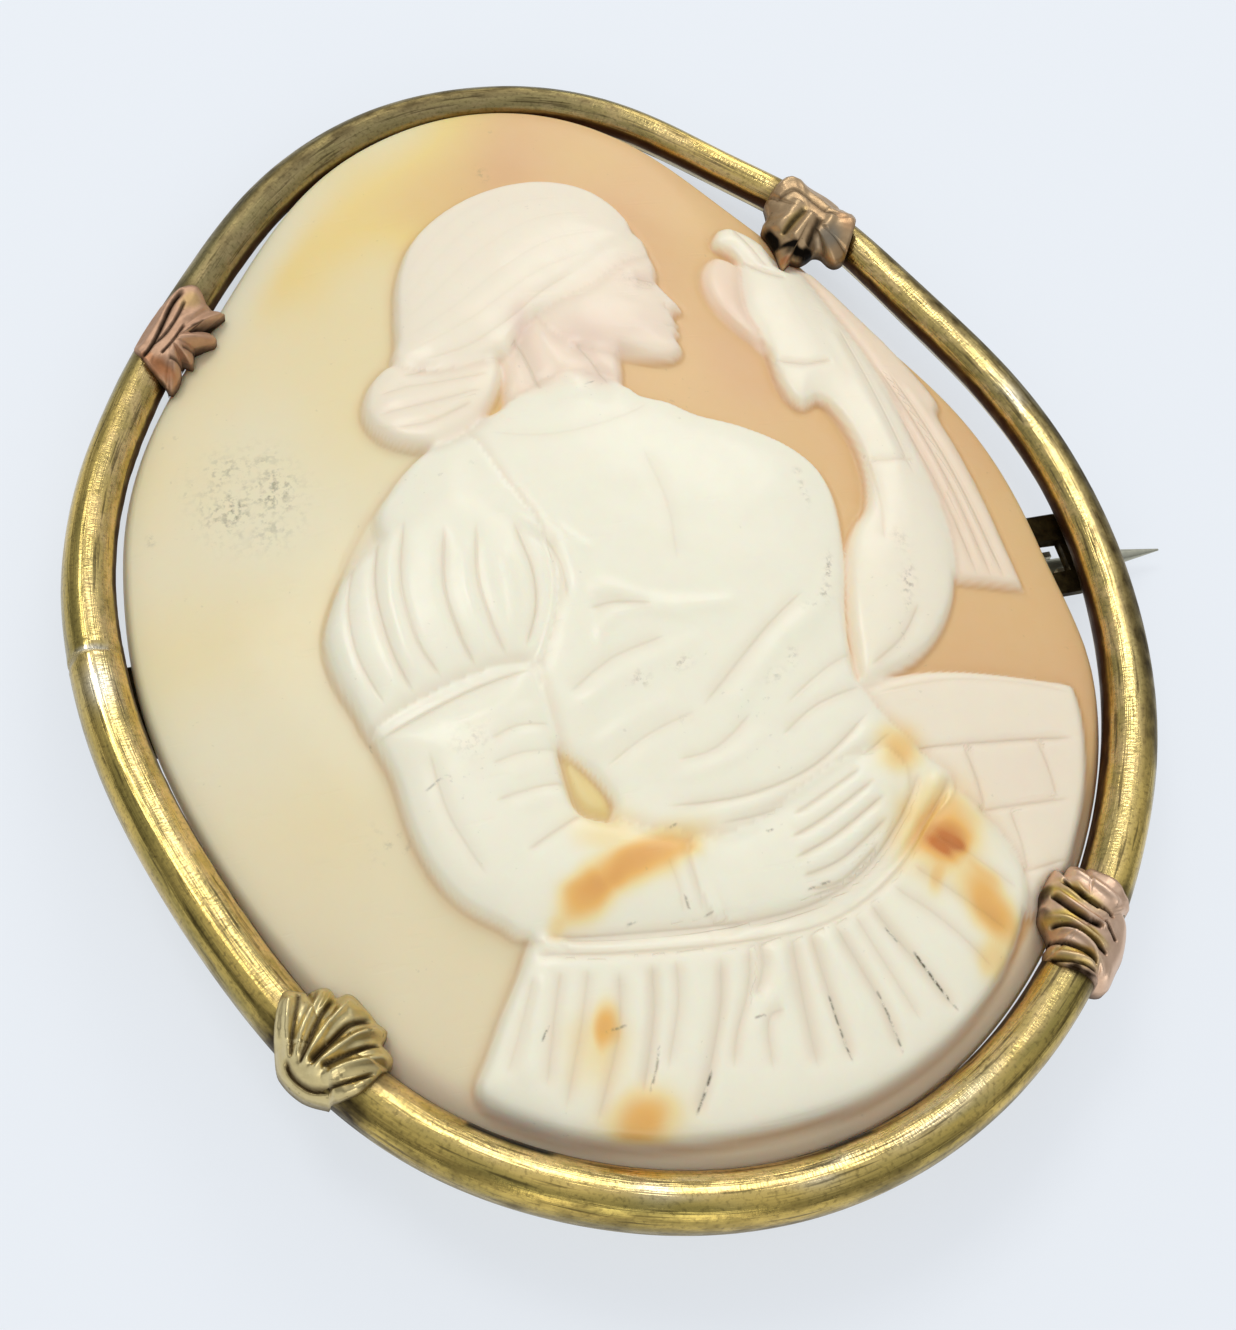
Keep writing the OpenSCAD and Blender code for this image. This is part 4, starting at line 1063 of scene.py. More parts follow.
class CAMEO_OT_stage(bpy.types.Operator):
    """Makes the camera, the floor and the lights"""
    bl_idname = "cameo.stage"
    bl_label = "Stage"

    def execute(self, context):
        scene = context.scene

        def add_object(name, data):
            item = bpy.data.objects.new(name, data)
            scene.collection.objects.link(item)
            return item

        place = laid([CAMERA_AT])[0]
        ahead = Vector(lean(*CAMERA_AHEAD)).normalized()
        right = ahead.cross(Vector(lean(*CAMERA_UP))).normalized()
        up = right.cross(ahead)
        data = bpy.data.cameras.new("camera")
        data.sensor_width = SENSOR_W
        data.lens = LENS
        data.clip_start = 0.005
        camera = add_object("camera", data)
        camera.matrix_world = Matrix([(*row, p) for *row, p in zip(right, up, -ahead, place)] + [(0, 0, 0, 1)])
        scene.camera = camera
        scene.view_settings.view_transform = "Standard"

        mesh = bpy.data.meshes.new("floor")
        w = BOARD_HALF
        mesh.from_pydata([(-w, -w, 0), (w, -w, 0), (w, w, 0), (-w, w, 0)], [], [(0, 1, 2, 3)])
        mesh.materials.append(material_for("floor"))
        floor = add_object("floor", mesh)

        world = bpy.data.worlds.new("soft_room")
        world.use_nodes = True
        tree = world.node_tree
        # A pale room, lit by a window wall behind and to the right, and darker towards the viewer.
        sky = place_of(tree, "Generated")
        height = add_node(tree, "ShaderNodeSeparateXYZ", {0: sky}, "Z")
        toward = add_node(
            tree, "ShaderNodeVectorMath", {0: sky, 1: WINDOW_WALL}, "Value", operation="DOT_PRODUCT")
        wall = maths(tree, "SUBTRACT", spread(tree, toward, -0.6, 0.9, 0.55, 1.5), 1.0)
        wall = multiply_add(tree, wall, maths(tree, "SUBTRACT", 1.0, height), 1.0)
        room = mix(tree, 1.0, ramp(tree, height, ROOM), wall, "MULTIPLY")
        set_inputs(tree, tree.nodes["Background"], {"Color": room, "Strength": ROOM_STRENGTH})
        scene.world = world

        for name, at, size, power, tone in LIGHTS:
            light = bpy.data.lights.new(name, "AREA")
            light.shape = "SQUARE"
            light.size = size
            light.energy = power
            light.color = tone
            lamp = add_object(name, light)
            lamp.location = at
            lamp.rotation_euler = (-Vector(at)).to_track_quat("-Z", "Y").to_euler()
        return {"FINISHED"}


class CAMEO_OT_shell(bpy.types.Operator):
    """Carves the shell: its domed ground, the figure on it and its hollow back"""
    bl_idname = "cameo.shell"
    bl_label = "Carved shell"

    def execute(self, context):
        sizes = context.scene.cameo_sizes
        n, rings = sizes.cells, 7
        plan = shell_plan(*grid_points(n, rings))
        P = plan + DRAWN_FROM
        x, y = P.T
        ground, rim_in = ground_at(plan)
        height, white, thin, crease, figure, fine, fine_strength = carve(P, sizes.relief / MM)
        free = smooth((rim_in - 0.10) / 0.40)
        # The carving sinks away under the claws.
        for claw in CLAWS:
            free = free * smooth((-inside(plan - claw["at"], claw["outline"]) - 0.05) / 0.8)
        # One light smoothing, so that steep edges don't show the mesh's steps.
        square = (height * free).reshape(n + 1, n + 1)
        for _ in range(2):
            wide = np.pad(square, [(1, 1), (0, 0)], mode="edge")
            square = (0.5 * square + 0.25 * (wide[:-2] + wide[2:])).T
        height = square.ravel()
        # A chip of the white layer is left on the bevel.
        chip = 0.9 * spot(P, 7.8, -25.95, 0.45, 0.2, 25, 2.0)
        white = np.maximum(white * smooth((rim_in - 0.02) / 0.2), chip)
        halo = bell(np.minimum(figure, 0), 0.22) * (figure < 0.05)
        z = np.maximum(ground + height - 0.05 * halo * (rim_in > 0.4), EDGE_Z)
        face = np.column_stack([plan, z])

        # The ground is cream at the left and orange at the right, with a warm arc at the upper left.
        middle = np.interp(y, (-30, 0, 8, 14, 22, 28), (-3, -6, -5.5, -5, -4.5, -2.5))
        warmth = 0.14 + 0.80 * smooth((x - middle + 3) / 8)
        glow = stroke(P, ((-14.6, 16.9), (-12.3, 19.3), (-9.2, 21.5), (-4.7, 24.1), (-0.9, 25.7)), 2.8, 0.35)
        warmth = warmth + 0.36 * glow * (1 - smooth((x - middle) / 6))
        pale_rim = smooth((2.7 - rim_in) / 2.0) * window(angle_of(plan), 124, 20, 16)
        warmth = warmth * (1 - 0.8 * pale_rim) + 0.10 * lattice_noise(P, 5.0, 11)
        dusk = smooth((-2 - y) / 20) * smooth((2 - x) / 12) * 0.5
        # The lower bevel is painted paler: partly its own paler colour, partly painted light where it faces
        # away from the lamps.
        edge = smooth((1.25 - rim_in) / 0.35) * smooth((-12 - y) / 8)
        amber = bell(np.minimum(figure, 0), 0.34) * (figure < 0.25) * smooth(-figure / 0.2 + 1)
        amber = amber * (0.75 + 0.25 * lattice_noise(P, 2.0, 12)) * smooth(rim_in / 0.5)
        crescent = stroke(P, ((12.0, 6.8), (12.7, 4.6), (12.6, 2.6), (12.0, 0.9)), 0.42, 0.1) * (1 - white)
        amber = np.maximum(amber, 1.2 * crescent)
        stain = np.zeros(len(P))
        wobble = P + 0.18 * np.column_stack([lattice_noise(P, 0.9, 21), lattice_noise(P, 0.9, 22)])
        for *place, strength in STAINS:
            one = strength * spot(wobble, *place, 1.4)
            stain = np.maximum(stain, one) + 0.25 * np.minimum(stain, one)
        mark, mark_strength = nearest_line(P, DIRT_LINES)
        # A patch of dirt on the bare ground and a smear beside the forearm, both broken up.
        speckled = np.clip(0.62 + 0.45 * lattice_noise(P, 0.42, 41) + 0.45 * lattice_noise(P, 1.1, 42), 0, 1)
        patch = 0.72 * (spot(P, -15.6, 7.0, 2.1, 2.5, 20, 1.5) * speckled)
        smear = 0.25 * spot(P, -12.6, -11.6, 0.8, 1.2, 30) * (lattice_noise(P, 0.4, 43) > 0.1)
        dirt = np.max([strongest(P, DIRT_SPOTS), patch, smear], 0)

        m = n // 4
        disc = grid_points(m, 1)
        back_plan = shell_plan(*disc, plain=True)
        hollow = 1 - np.minimum(1, np.hypot(*disc) / (1 - BEVEL_SHARE)) ** 2
        back = np.column_stack([back_plan, SHELL_BACK + HOLLOW_D * hollow])
        faces = [list(f) for f in grid_cells(n, 0)] + [list(f) for f in grid_cells(m, len(face))[:, ::-1]]
        # Each edge of the back's outline meets four edges of the face's.
        top, low = grid_loop(n), grid_loop(m) + len(face)
        for k in range(len(low)):
            upper = [top[(4 * k + q) % len(top)] for q in range(5)]
            faces.append(upper[::-1] + [low[k], low[(k + 1) % len(low)]])

        # What each point's finish needs: on the face, and on the back.
        looks = {
            "white": (white, 0.0), "thin": (thin, 0.5), "crease": (crease * white, 0.0),
            "hollow": (strongest(P, HOLLOWS) * white, 0.0),
            "warmth": (warmth, smooth((back_plan[:, 0] + 14) / 20) * 0.9), "dusk": (dusk, 0.15),
            "edge": (edge, 0.0), "amber": (amber * (1 - 0.6 * white), 0.0),
            "stain": (stain * smooth(figure / 0.3), 0.0),
            "fine": (fine, FAR), "fine_strength": (fine_strength, 0.0), "mark": (mark, FAR),
            "mark_strength": (mark_strength, 0.0), "dirt": (dirt, 0.0)}
        make_piece(
            "carved_shell", np.concatenate([face, back]), faces, "carved_shell", "shell_cameo",
            {key: np.append(a, np.broadcast_to(b, len(back))) for key, (a, b) in looks.items()})
        return {"FINISHED"}


# Outline of the tube's section as shares of its half width and half height, from its outer side round.
SECTION = (
    (1, -0.05), (0.93, 0.42), (0.7, 0.78), (0.35, 0.97), (0.05, 1), (-0.25, 0.93), (-0.6, 0.76), (-0.88, 0.5),
    (-1, 0.14), (-0.94, -0.32), (-0.66, -0.8), (-0.15, -1), (0.4, -1), (0.84, -0.66))
# Height of the tube's upper half at shares of half its width, from the inner to the outer edge.
TUBE_TOP = (
    (-1.0, -0.95, -0.85, -0.25, 0.05, 0.35, 0.7, 0.93, 1.0), (0.0, 0.7, 0.9, 1.4, 1.5, 1.46, 1.17, 0.63, -0.1))
# Length of the tube, where its two ends meet, where the claws are soldered on, and silvery spots with spreads:
# worn metal and solder, partly a painted sheen.
TUBE_LENGTH = 170
SEAM_ANGLE = 180.6
CLAW_ANGLES = (137, 50, -131, -53.5)
SILVER_SPOTS = ((-99, 4.0), (-88, 3.0), (-76, 4.5), (14, 3.0))
# Direction in which the inner underside is cut flat.
FLAT_SIDE = (0.72, 0.69)


class CAMEO_OT_tube(bpy.types.Operator):
    """Bends the brass tube round the shell, with its flats, its seam and its wear"""
    bl_idname = "cameo.tube"
    bl_label = "Tube frame"

    def execute(self, context):
        sizes = context.scene.cameo_sizes
        count = sizes.stations
        section = np.clip(curve(SECTION, True, 4), -1, 1)
        k = len(section)
        stations = np.arange(count) * 360.0 / count
        s, c = (a.ravel() for a in np.meshgrid(np.arange(count), np.arange(k), indexing="ij"))
        t = stations[s]
        u, v = section[c].T
        # The inner slope was planished: small flats, each at its own depth.
        where = np.column_stack([t / 360 * TUBE_LENGTH, u * 1.3 + v])
        inner = smooth((0.35 - u) / 0.5) * smooth((v + 0.4) / 0.6)
        marks = np.abs(lattice_noise(where, 1.3, 51)) + 0.5 * np.abs(lattice_noise(where, 0.6, 52))
        sink = (sizes.hammer / MM) * inner * marks
        sink = sink + 0.02 * np.abs(lattice_noise(where, 6.0, 53)) * (1 - inner)
        # The seam, with a little solder on both sides.
        off = turned_from(t, SEAM_ANGLE)
        crack = off - 0.35 * u
        sink = sink + 0.16 * bell(crack, 0.16) - 0.05 * bell(crack + 0.55, 0.35) - 0.04 * bell(crack - 0.5, 0.3)
        normal = np.column_stack([u / TUBE_W, v / TUBE_H])
        normal /= np.linalg.norm(normal, axis=1, keepdims=True)
        # On its far side the tube is thinner and smaller, and its inner underside is flatter.
        middle, half, less = THINNER
        far_side = window(t, middle, half, 40)
        thin = 1 - less / TUBE_W * far_side
        cut = 0.8 * np.maximum(0, -FLAT_SIDE[0] * u - FLAT_SIDE[1] * v - 0.68) * far_side
        u, v = u + cut * FLAT_SIDE[0], v + cut * FLAT_SIDE[1]
        small = by_angle(stations, SMALLER)[s]
        across = (u - 1) * TUBE_W / 2 * thin - normal[:, 0] * np.maximum(sink, 0)
        across = across * small - by_angle(stations, INSET)[s]
        height = v * TUBE_H / 2 - normal[:, 1] * sink
        height = (height + TUBE_H / 2) * small - TUBE_H / 2
        plan = frame_at(stations)[s] + frame_out(stations)[s] * (across[:, None] - 0.02)
        after, beyond = (s + 1) % count, (c + 1) % k
        faces = np.stack([s * k + c, s * k + beyond, after * k + beyond, after * k + c], 1)
        step = np.diff(np.vstack([section, section[:1]]) * (TUBE_W / 2, TUBE_H / 2), axis=0)
        round_it = np.concatenate([[0], np.cumsum(np.linalg.norm(step, axis=1))])[:-1][c]

        # The tube is darker in these places: tarnish at the seam and where the claws are soldered on, and
        # painted shade on its inner wall, its underside, its lower outer side (more at the right), and on its
        # right and far sides, where it lies in shadow or mirrors the dark room.
        low = smooth((0.5 - v) / 0.6) * (u > 0)
        tarnish_and_shade = 0.85 * smooth((-0.86 - u) / 0.1) + 0.6 * smooth((-0.3 - v) / 0.4)
        tarnish_and_shade = tarnish_and_shade + (0.30 + 0.22 * np.cos(np.radians(t))) * low + 0.35 * bell(crack, 0.22)
        tarnish_and_shade = tarnish_and_shade + 0.30 * window(t, -100, 62, 30) * smooth((u - 0.35) / 0.4)
        tarnish_and_shade = tarnish_and_shade + 0.60 * window(t, 4, 52, 26) * smooth((u + 0.25) / 0.5) * (v > -0.3)
        tarnish_and_shade = tarnish_and_shade + 0.42 * window(t, 100, 40, 26) * smooth((u + 0.6) / 0.6) * (v > -0.3)
        for angle in CLAW_ANGLES:
            tarnish_and_shade = tarnish_and_shade + 0.5 * window(t, angle, 7.0, 3)
        # Two black marks painted on the inner wall at the bottom: painted shadow of the gaps where the shell
        # doesn't quite meet the tube.
        gap_shadow = np.maximum(window(t, 245.7, 4.2, 0.6) * smooth((-0.62 - u) / 0.1),
                          window(t, 275.4, 2.6, 0.6) * smooth((-0.76 - u) / 0.08))
        # A duller grey, rougher finish on the far side and at the right: partly duller metal, partly painted
        # shade.
        dull = np.maximum(0.9 * window(t, 108, 48, 25), 0.85 * window(t, 8, 52, 26) * smooth((u + 0.35) / 0.3))
        # Brighter along the inner top of the tube: partly rubbed wear, partly a painted highlight where the
        # lamps shine on it.
        rub_and_sheen = bell(u + 0.2, 0.35) * smooth((v - 0.5) / 0.3) * (0.7 + 0.4 * lattice_noise(where, 3.0, 54))
        # Silvery patches: solder at the seam and worn metal, and partly a painted sheen on the tube's upper
        # side.
        silver_and_sheen = np.maximum(bell(off - 4.2, 2.4) * bell(u - 0.1, 0.45) * (v > 0),
                            1.1 * bell(crack + 0.1, 0.2) * (u > -0.6) * (v > 0))
        patchy = np.clip(0.35 + 1.2 * lattice_noise(where * (0.5, 2), 0.8, 55), 0, 1)
        for angle, wide in SILVER_SPOTS:
            one = 0.75 * bell(turned_from(t, angle), wide) * bell(u + 0.15, 0.4) * (v > 0) * patchy
            silver_and_sheen = np.maximum(silver_and_sheen, one)
        # The brown on the inner wall is painted shade of the gap between the tube and the shell.
        make_piece("tube_frame", np.column_stack([plan, height]), faces, "tube", "rim", {
            "along": (t - 181) % 360 / 360 * TUBE_LENGTH, "across": round_it,
            "band": inner * smooth((u + 0.95) / 0.1), "wall": 0.8 * smooth((-0.88 - u) / 0.08), "gap_shadow": gap_shadow,
            "dull": dull, "tarnish_and_shade": np.clip(tarnish_and_shade, 0, 1), "rub_and_sheen": np.clip(rub_and_sheen, 0, 1),
            "silver_and_sheen": np.clip(silver_and_sheen, 0, 1)})
        return {"FINISHED"}


# The four claws. Each has its middle in the frame's plan, its outline and its ridges (over 0) and cuts
# (under 0) round that middle, and patches of other colours, whose dark ones are partly painted shadow at
# the claw's inner edge. Its edge is thick, and rises to its top.
CLAWS = (
    {"name": "claw_lower_left", "finish": "gold_claw", "at": (-17.29, -20.02), "thick": 0.42, "top": 2.02,
     "crown": 3.2,
     "outline": (
        (-1.3, 2.53), (-1.04, 2.68), (-0.45, 2.57), (-0.02, 2.68), (0.36, 2.73), (0.67, 2.57), (0.82, 2.2),
        (1.05, 2.23), (1.32, 2.25), (1.61, 2), (1.96, 1.33), (2.16, 0.92), (2.22, 0.77), (2.41, 0.56),
        (2.54, 0.32), (2.42, 0.1), (2.23, -0.15), (2.34, -0.36), (2.5, -0.66), (2.51, -0.94), (2.26, -1.23),
        (1.86, -1.46), (1.62, -1.67), (1.38, -1.85), (0.99, -2.09), (0.58, -2.16), (0.06, -2.11),
        (-0.43, -1.88), (-0.92, -1.63), (-1.32, -1.33), (-1.7, -0.86), (-1.95, -0.39), (-2.05, -0.03),
        (-2.02, 0.58), (-1.88, 1.23), (-1.66, 1.86), (-1.49, 2.23)),
     "lines": (
        (0.22, 0.15, ((-1.62, -0.16), (-1.5, 0.79), (-1.28, 1.63), (-1.06, 2.39))),
        (0.24, 0.13, ((-1.34, -0.25), (-0.95, 0.61), (-0.47, 1.36), (0.04, 2.1), (0.33, 2.57))),
        (0.12, 0.12, ((0.08, 1.45), (0.46, 2), (0.64, 2.41))),
        (0.3, 0.16, ((-1.14, -0.58), (-0.52, 0.07), (0.23, 0.82), (0.87, 1.36), (1.5, 1.8))),
        (0.1, 0.16, ((1.12, 1.24), (1.68, 1.34), (2.01, 0.96))),
        (0.3, 0.17, ((-0.91, -0.91), (-0.09, -0.48), (0.71, -0.1), (1.51, 0.19), (2.39, 0.31))),
        (0.26, 0.16, ((-0.44, -1.24), (0.4, -1.03), (1.21, -0.94), (1.83, -0.9), (2.38, -0.9))),
        (-0.16, 0.06, ((-1.46, -0.08), (-1.21, 0.83), (-0.9, 1.66), (-0.65, 2.53))),
        (-0.22, 0.085, ((-1.2, -0.43), (-0.87, -0.05), (-0.45, 0.61), (0.05, 1.31), (0.73, 2.02))),
        (-0.2, 0.11, ((-0.78, -0.62), (-0.24, -0.21), (0.37, 0.21), (1.07, 0.65), (2.05, 0.81))),
        (-0.24, 0.08, ((-0.42, -0.78), (0.34, -0.64), (1.18, -0.46), (2.13, -0.25))),
        (-0.3, 0.065, ((-1.64, 0.12), (-1.58, -0.44), (-1.28, -0.96), (-0.8, -1.38), (0.02, -1.59),
            (0.95, -1.61), (1.75, -1.46))),
        (0.14, 0.16, ((-1.7, 1.57), (-1.85, 0.71), (-1.87, -0.2), (-1.64, -0.94), (-1.15, -1.47),
            (-0.42, -1.82), (0.48, -1.98), (1.31, -1.8)))),
     "patches": (
        ("gilt", 0.45, 1.9, 0.28, 0.6, -15, 0.7), ("gilt", 1.75, 1.2, 0.5, 0.3, -30, 0.5),
        ("grey", -1.6, -1.6, 0.5, 0.3, -45, 0.6))},
    {"name": "claw_lower_right", "finish": "rose_claw", "at": (15.5, -21.8), "stretch": (1.03, 1.24),
     "thick": 0.4, "top": 1.95, "crown": 3,
     "outline": (
        (-0.07, 2.39), (0.09, 2.09), (0.27, 2.21), (0.58, 2.4), (0.91, 2.35), (1.25, 2.14), (1.49, 1.85),
        (1.78, 1.51), (2.03, 1.15), (2.12, 0.84), (2.3, 0.57), (2.4, 0.28), (2.31, -0.21), (2.04, -0.67),
        (1.65, -1.17), (1.15, -1.58), (0.68, -1.99), (0.43, -2.14), (0.15, -2.15), (-0.15, -2.05),
        (-0.61, -1.82), (-1.1, -1.5), (-1.59, -1.17), (-1.85, -0.85), (-1.92, -0.61), (-1.77, -0.36),
        (-1.55, -0.21), (-1.52, 0.16), (-1.57, 0.55), (-1.51, 0.88), (-1.28, 1.25), (-1.12, 1.64),
        (-0.83, 1.9), (-0.54, 2.14), (-0.26, 2.35)),
     "lines": (
        (0.26, 0.17, ((0.42, 2.19), (0.83, 1.63), (1.22, 0.99), (1.67, 0.37))),
        (0.26, 0.14, ((-0.76, 1.54), (-0.54, 1.02), (-0.16, 0.52), (0.31, 0.03), (0.7, -0.34))),
        (0.26, 0.15, ((-1.38, 0.17), (-0.86, -0.11), (-0.4, -0.62), (-0.1, -1.29), (0.1, -1.8))),
        (0.12, 0.12, ((-1.93, -0.95), (-1.68, -1.2), (-1.22, -1.52), (-0.62, -1.86), (-0.08, -2.13))),
        (0.2, 0.13, ((-1.92, -0.57), (-1.36, -0.88), (-0.78, -1.21), (-0.35, -1.5))),
        (0.26, 0.28, ((1.69, 0.4), (1.81, -0.23), (1.34, -1), (0.7, -1.62), (0.16, -2.07))),
        (0.12, 0.09, ((-0.53, 1.92), (-0.21, 1.18), (0.31, 0.52), (1.01, 0.06))),
        (0.12, 0.11, ((-1.54, 0.72), (-0.9, 0.44), (-0.39, -0.05), (0.08, -0.57), (0.39, -1))),
        (0.1, 0.1, ((0.15, 1.94), (0.25, 1.44), (0.33, 1.03))),
        (-0.3, 0.075, ((-0.31, 1.75), (0.13, 1.2), (0.61, 0.6), (1.27, 0))),
        (-0.3, 0.085, ((-0.93, 1.45), (-0.63, 0.8), (-0.2, 0.25), (0.52, -0.28))),
        (-0.3, 0.085, ((-1.5, 0.34), (-0.85, 0.08), (-0.37, -0.35), (0.1, -0.88), (0.4, -1.18))),
        (-0.34, 0.09, ((-1.71, -0.11), (-1.08, -0.58), (-0.59, -0.98), (-0.28, -1.48))),
        (-0.3, 0.08, ((-0.14, 1.9), (0, 1.35), (0.26, 0.87), (0.66, 0.39))),
        (-0.3, 0.08, ((0.7, -0.02), (0.85, -0.33), (1.01, -0.79))),
        (-0.22, 0.05, ((-1.98, -0.8), (-1.37, -1.14), (-0.83, -1.42), (-0.34, -1.72)))),
     "patches": (
        ("gilt", 0.05, 1.45, 0.25, 0.75, 45, 0.8), ("gilt", -0.2, 1.15, 1.4, 0.32, -42, 1),
        ("gilt", -0.95, 0.45, 0.9, 0.42, -12, 1), ("gilt", -0.1, -0.45, 0.8, 0.3, -45, 0.9),
        ("gilt", -1.1, -0.98, 1.1, 0.45, -30, 1), ("tarnish_and_shade", -1.1, 1.6, 0.3, 0.55, -40, 0.8),
        ("tarnish_and_shade", -1.45, 0.95, 0.2, 0.5, 10, 0.6), ("tarnish_and_shade", -1.1, -1.55, 0.9, 0.16, -33, 0.9))},
    {"name": "claw_upper_right", "finish": "brown_claw", "at": (15.25, 17.76), "thick": 0.3, "top": 1.85,
     "crown": 2.6,
     "outline": (
        (-1.26, 2.56), (-0.65, 2.89), (0.06, 3.07), (0.75, 2.96), (1.2, 2.59), (1.59, 2.03), (1.99, 1.53),
        (2.39, 1.02), (2.58, 0.34), (2.51, -0.21), (2.2, -0.84), (1.8, -1.54), (1.44, -2.05), (0.96, -2.19),
        (0.63, -1.93), (0.42, -1.5), (0.04, -1.37), (-0.4, -1.61), (-0.87, -1.76), (-1.38, -1.6),
        (-1.75, -2.07), (-2, -2.09), (-2, -1.46), (-1.97, -0.96), (-2.06, -0.08), (-2.22, 0.67),
        (-1.75, 1.28), (-1.64, 1.84), (-1.59, 2.21)),
     "lines": (
        (0.16, 0.28, ((-1.79, 0.02), (-1.05, 0.57), (-0.17, 1.34))),
        (0.18, 0.24, ((-1.26, -0.89), (-0.52, -0.33), (0.27, 0.39))),
        (0.14, 0.22, ((0.64, -0.65), (1.07, -0.18), (1.42, 0.36))),
        (-0.14, 0.12, ((-1.55, -0.4), (-0.86, 0.12), (-0.05, 0.71))),
        (-0.14, 0.14, ((-0.48, -1.36), (0.09, -0.6), (0.56, 0.01))),
        (0.08, 0.22, ((-1.22, 2.46), (-0.02, 2.84), (0.72, 1.93), (1.3, 0.84), (2.09, 0.08), (2.03, -0.77))),
        (-0.1, 0.1, ((-1.29, 1.79), (-0.3, 2.06), (0.33, 1.56), (0.91, 0.61), (1.56, -0.06)))),
     "patches": (
        ("gilt", -0.8, 0.15, 0.9, 0.3, 35, 0.5), ("grey", 0.75, -1.05, 0.75, 0.55, 20, 0.8),
        ("tarnish_and_shade", -1.2, -1.35, 1.1, 0.32, -38, 1), ("tarnish_and_shade", -1.95, -0.3, 0.25, 0.9, 20, 1),
        ("tarnish_and_shade", -0.4, -1.55, 0.6, 0.25, 0, 1), ("copper", -1.72, -1.75, 0.28, 0.25, 0, 1),
        ("copper", 1.9, -0.3, 0.4, 0.8, 10, 0.35))},
    {"name": "claw_upper_left", "finish": "faded_claw", "at": (-17.81, 15.43), "thick": 0.28, "top": 1.72,
     "crown": 2.6,
     "outline": (
        (1.61, 3.11), (1.86, 2.89), (1.97, 2.52), (2.04, 2.27), (2.35, 2.11), (2.8, 1.92), (2.69, 1.76),
        (2.28, 1.71), (2.04, 1.57), (1.77, 1.34), (1.58, 1.17), (1.7, 0.89), (2.01, 0.74), (2.18, 0.47),
        (2.05, 0.22), (1.85, 0.12), (1.43, 0.24), (1.09, 0.15), (0.96, -0.25), (0.81, -0.87), (0.35, -0.63),
        (0.1, -0.78), (0.26, -0.93), (0.14, -1.45), (-0.1, -1.9), (-0.39, -2.18), (-0.68, -1.91),
        (-0.96, -1.61), (-1.23, -1.25), (-1.45, -0.83), (-1.61, -0.45), (-1.76, -0.12), (-1.7, 0.27),
        (-1.4, 0.79), (-1.05, 1.31), (-0.6, 1.87), (-0.15, 2.29), (0.29, 2.64), (0.8, 2.97), (1.16, 3.11)),
     "lines": (
        (0.08, 0.16, ((-1.72, -0.38), (-1.24, 0.18), (-0.76, 0.85), (-0.2, 1.65), (0.53, 2.73),
            (1.15, 3.04))),
        (-0.18, 0.08, ((-1.55, -0.9), (-1.07, -0.32), (-0.62, 0.4), (-0.15, 1.22), (0.41, 2.17),
            (1.12, 2.89))),
        (-0.14, 0.06, ((-0.9, -0.1), (-0.2, 0.45), (0.5, 1.35), (1.05, 2.3))),
        (-0.12, 0.05, ((-0.6, -0.7), (0.1, 0), (0.8, 0.9))),
        (0.07, 0.16, ((0.6, 1.13), (1.26, 1.49), (1.98, 1.94), (2.71, 1.91))),
        (0.07, 0.14, ((0.3, 0.19), (0.95, 0.19), (1.5, 0.19), (2.02, 0.23))),
        (0.05, 0.14, ((-0.19, -0.48), (0.31, -0.76), (0.75, -1.01))),
        (-0.16, 0.09, ((0.89, 0.48), (1.31, 0.72), (1.81, 1.1))),
        (-0.1, 0.08, ((0.43, -0.31), (0.77, -0.28), (1.11, -0.18))),
        (-0.12, 0.08, ((-0.26, -0.87), (0.05, -0.98), (0.37, -1.03))),
        (-0.06, 0.25, ((-1.09, -0.93), (-0.58, -1.18), (-0.05, -1.28)))),
     "patches": (
        ("copper", -0.65, -1.35, 0.75, 0.42, -35, 1), ("copper", -1.3, -0.8, 0.5, 0.3, -35, 0.7),
        ("gilt", 1.25, 2.2, 0.5, 0.4, 40, 0.4), ("tarnish_and_shade", 1.35, 0.75, 0.35, 0.22, 20, 0.8))})

# A claw's mesh, and the highest that its ridges may stand.
CLAW_RINGS, CLAW_COLUMNS = 34, 216
CLAW_HIGHEST = 2.42


def claw_floor(plan):
    """Heights that a claw can lie on at each point: the tube or the gap beside it, and the shell's face."""
    t = angle_of(plan)
    outer = oval_r(t, HALF_W, HALF_H, FRAME_BENDS) - by_angle(t, INSET)
    share = 1 - 2 * (outer - np.hypot(plan[:, 0], plan[:, 1])) / (TUBE_W * by_angle(t, SMALLER))
    tube = np.where(np.abs(share) <= 1, np.interp(share, *TUBE_TOP), np.where(share > 1, -0.4, 0.5))
    face, rim = ground_at(plan)
    return tube, np.where(rim > -0.25, face + 0.05, -9.0)


def outline_reach(line, angle):
    """How far a closed line is from the middle in this direction."""
    d = np.array((math.cos(angle), math.sin(angle)))
    step = np.roll(line, -1, 0) - line
    cross = d[0] * step[:, 1] - d[1] * step[:, 0]
    cross = np.where(np.abs(cross) < 1e-9, 1e-9, cross)
    far = (line[:, 0] * step[:, 1] - line[:, 1] * step[:, 0]) / cross
    along = (line[:, 0] * d[1] - line[:, 1] * d[0]) / cross
    return far[(along >= 0) & (along <= 1) & (far > 0)].max()


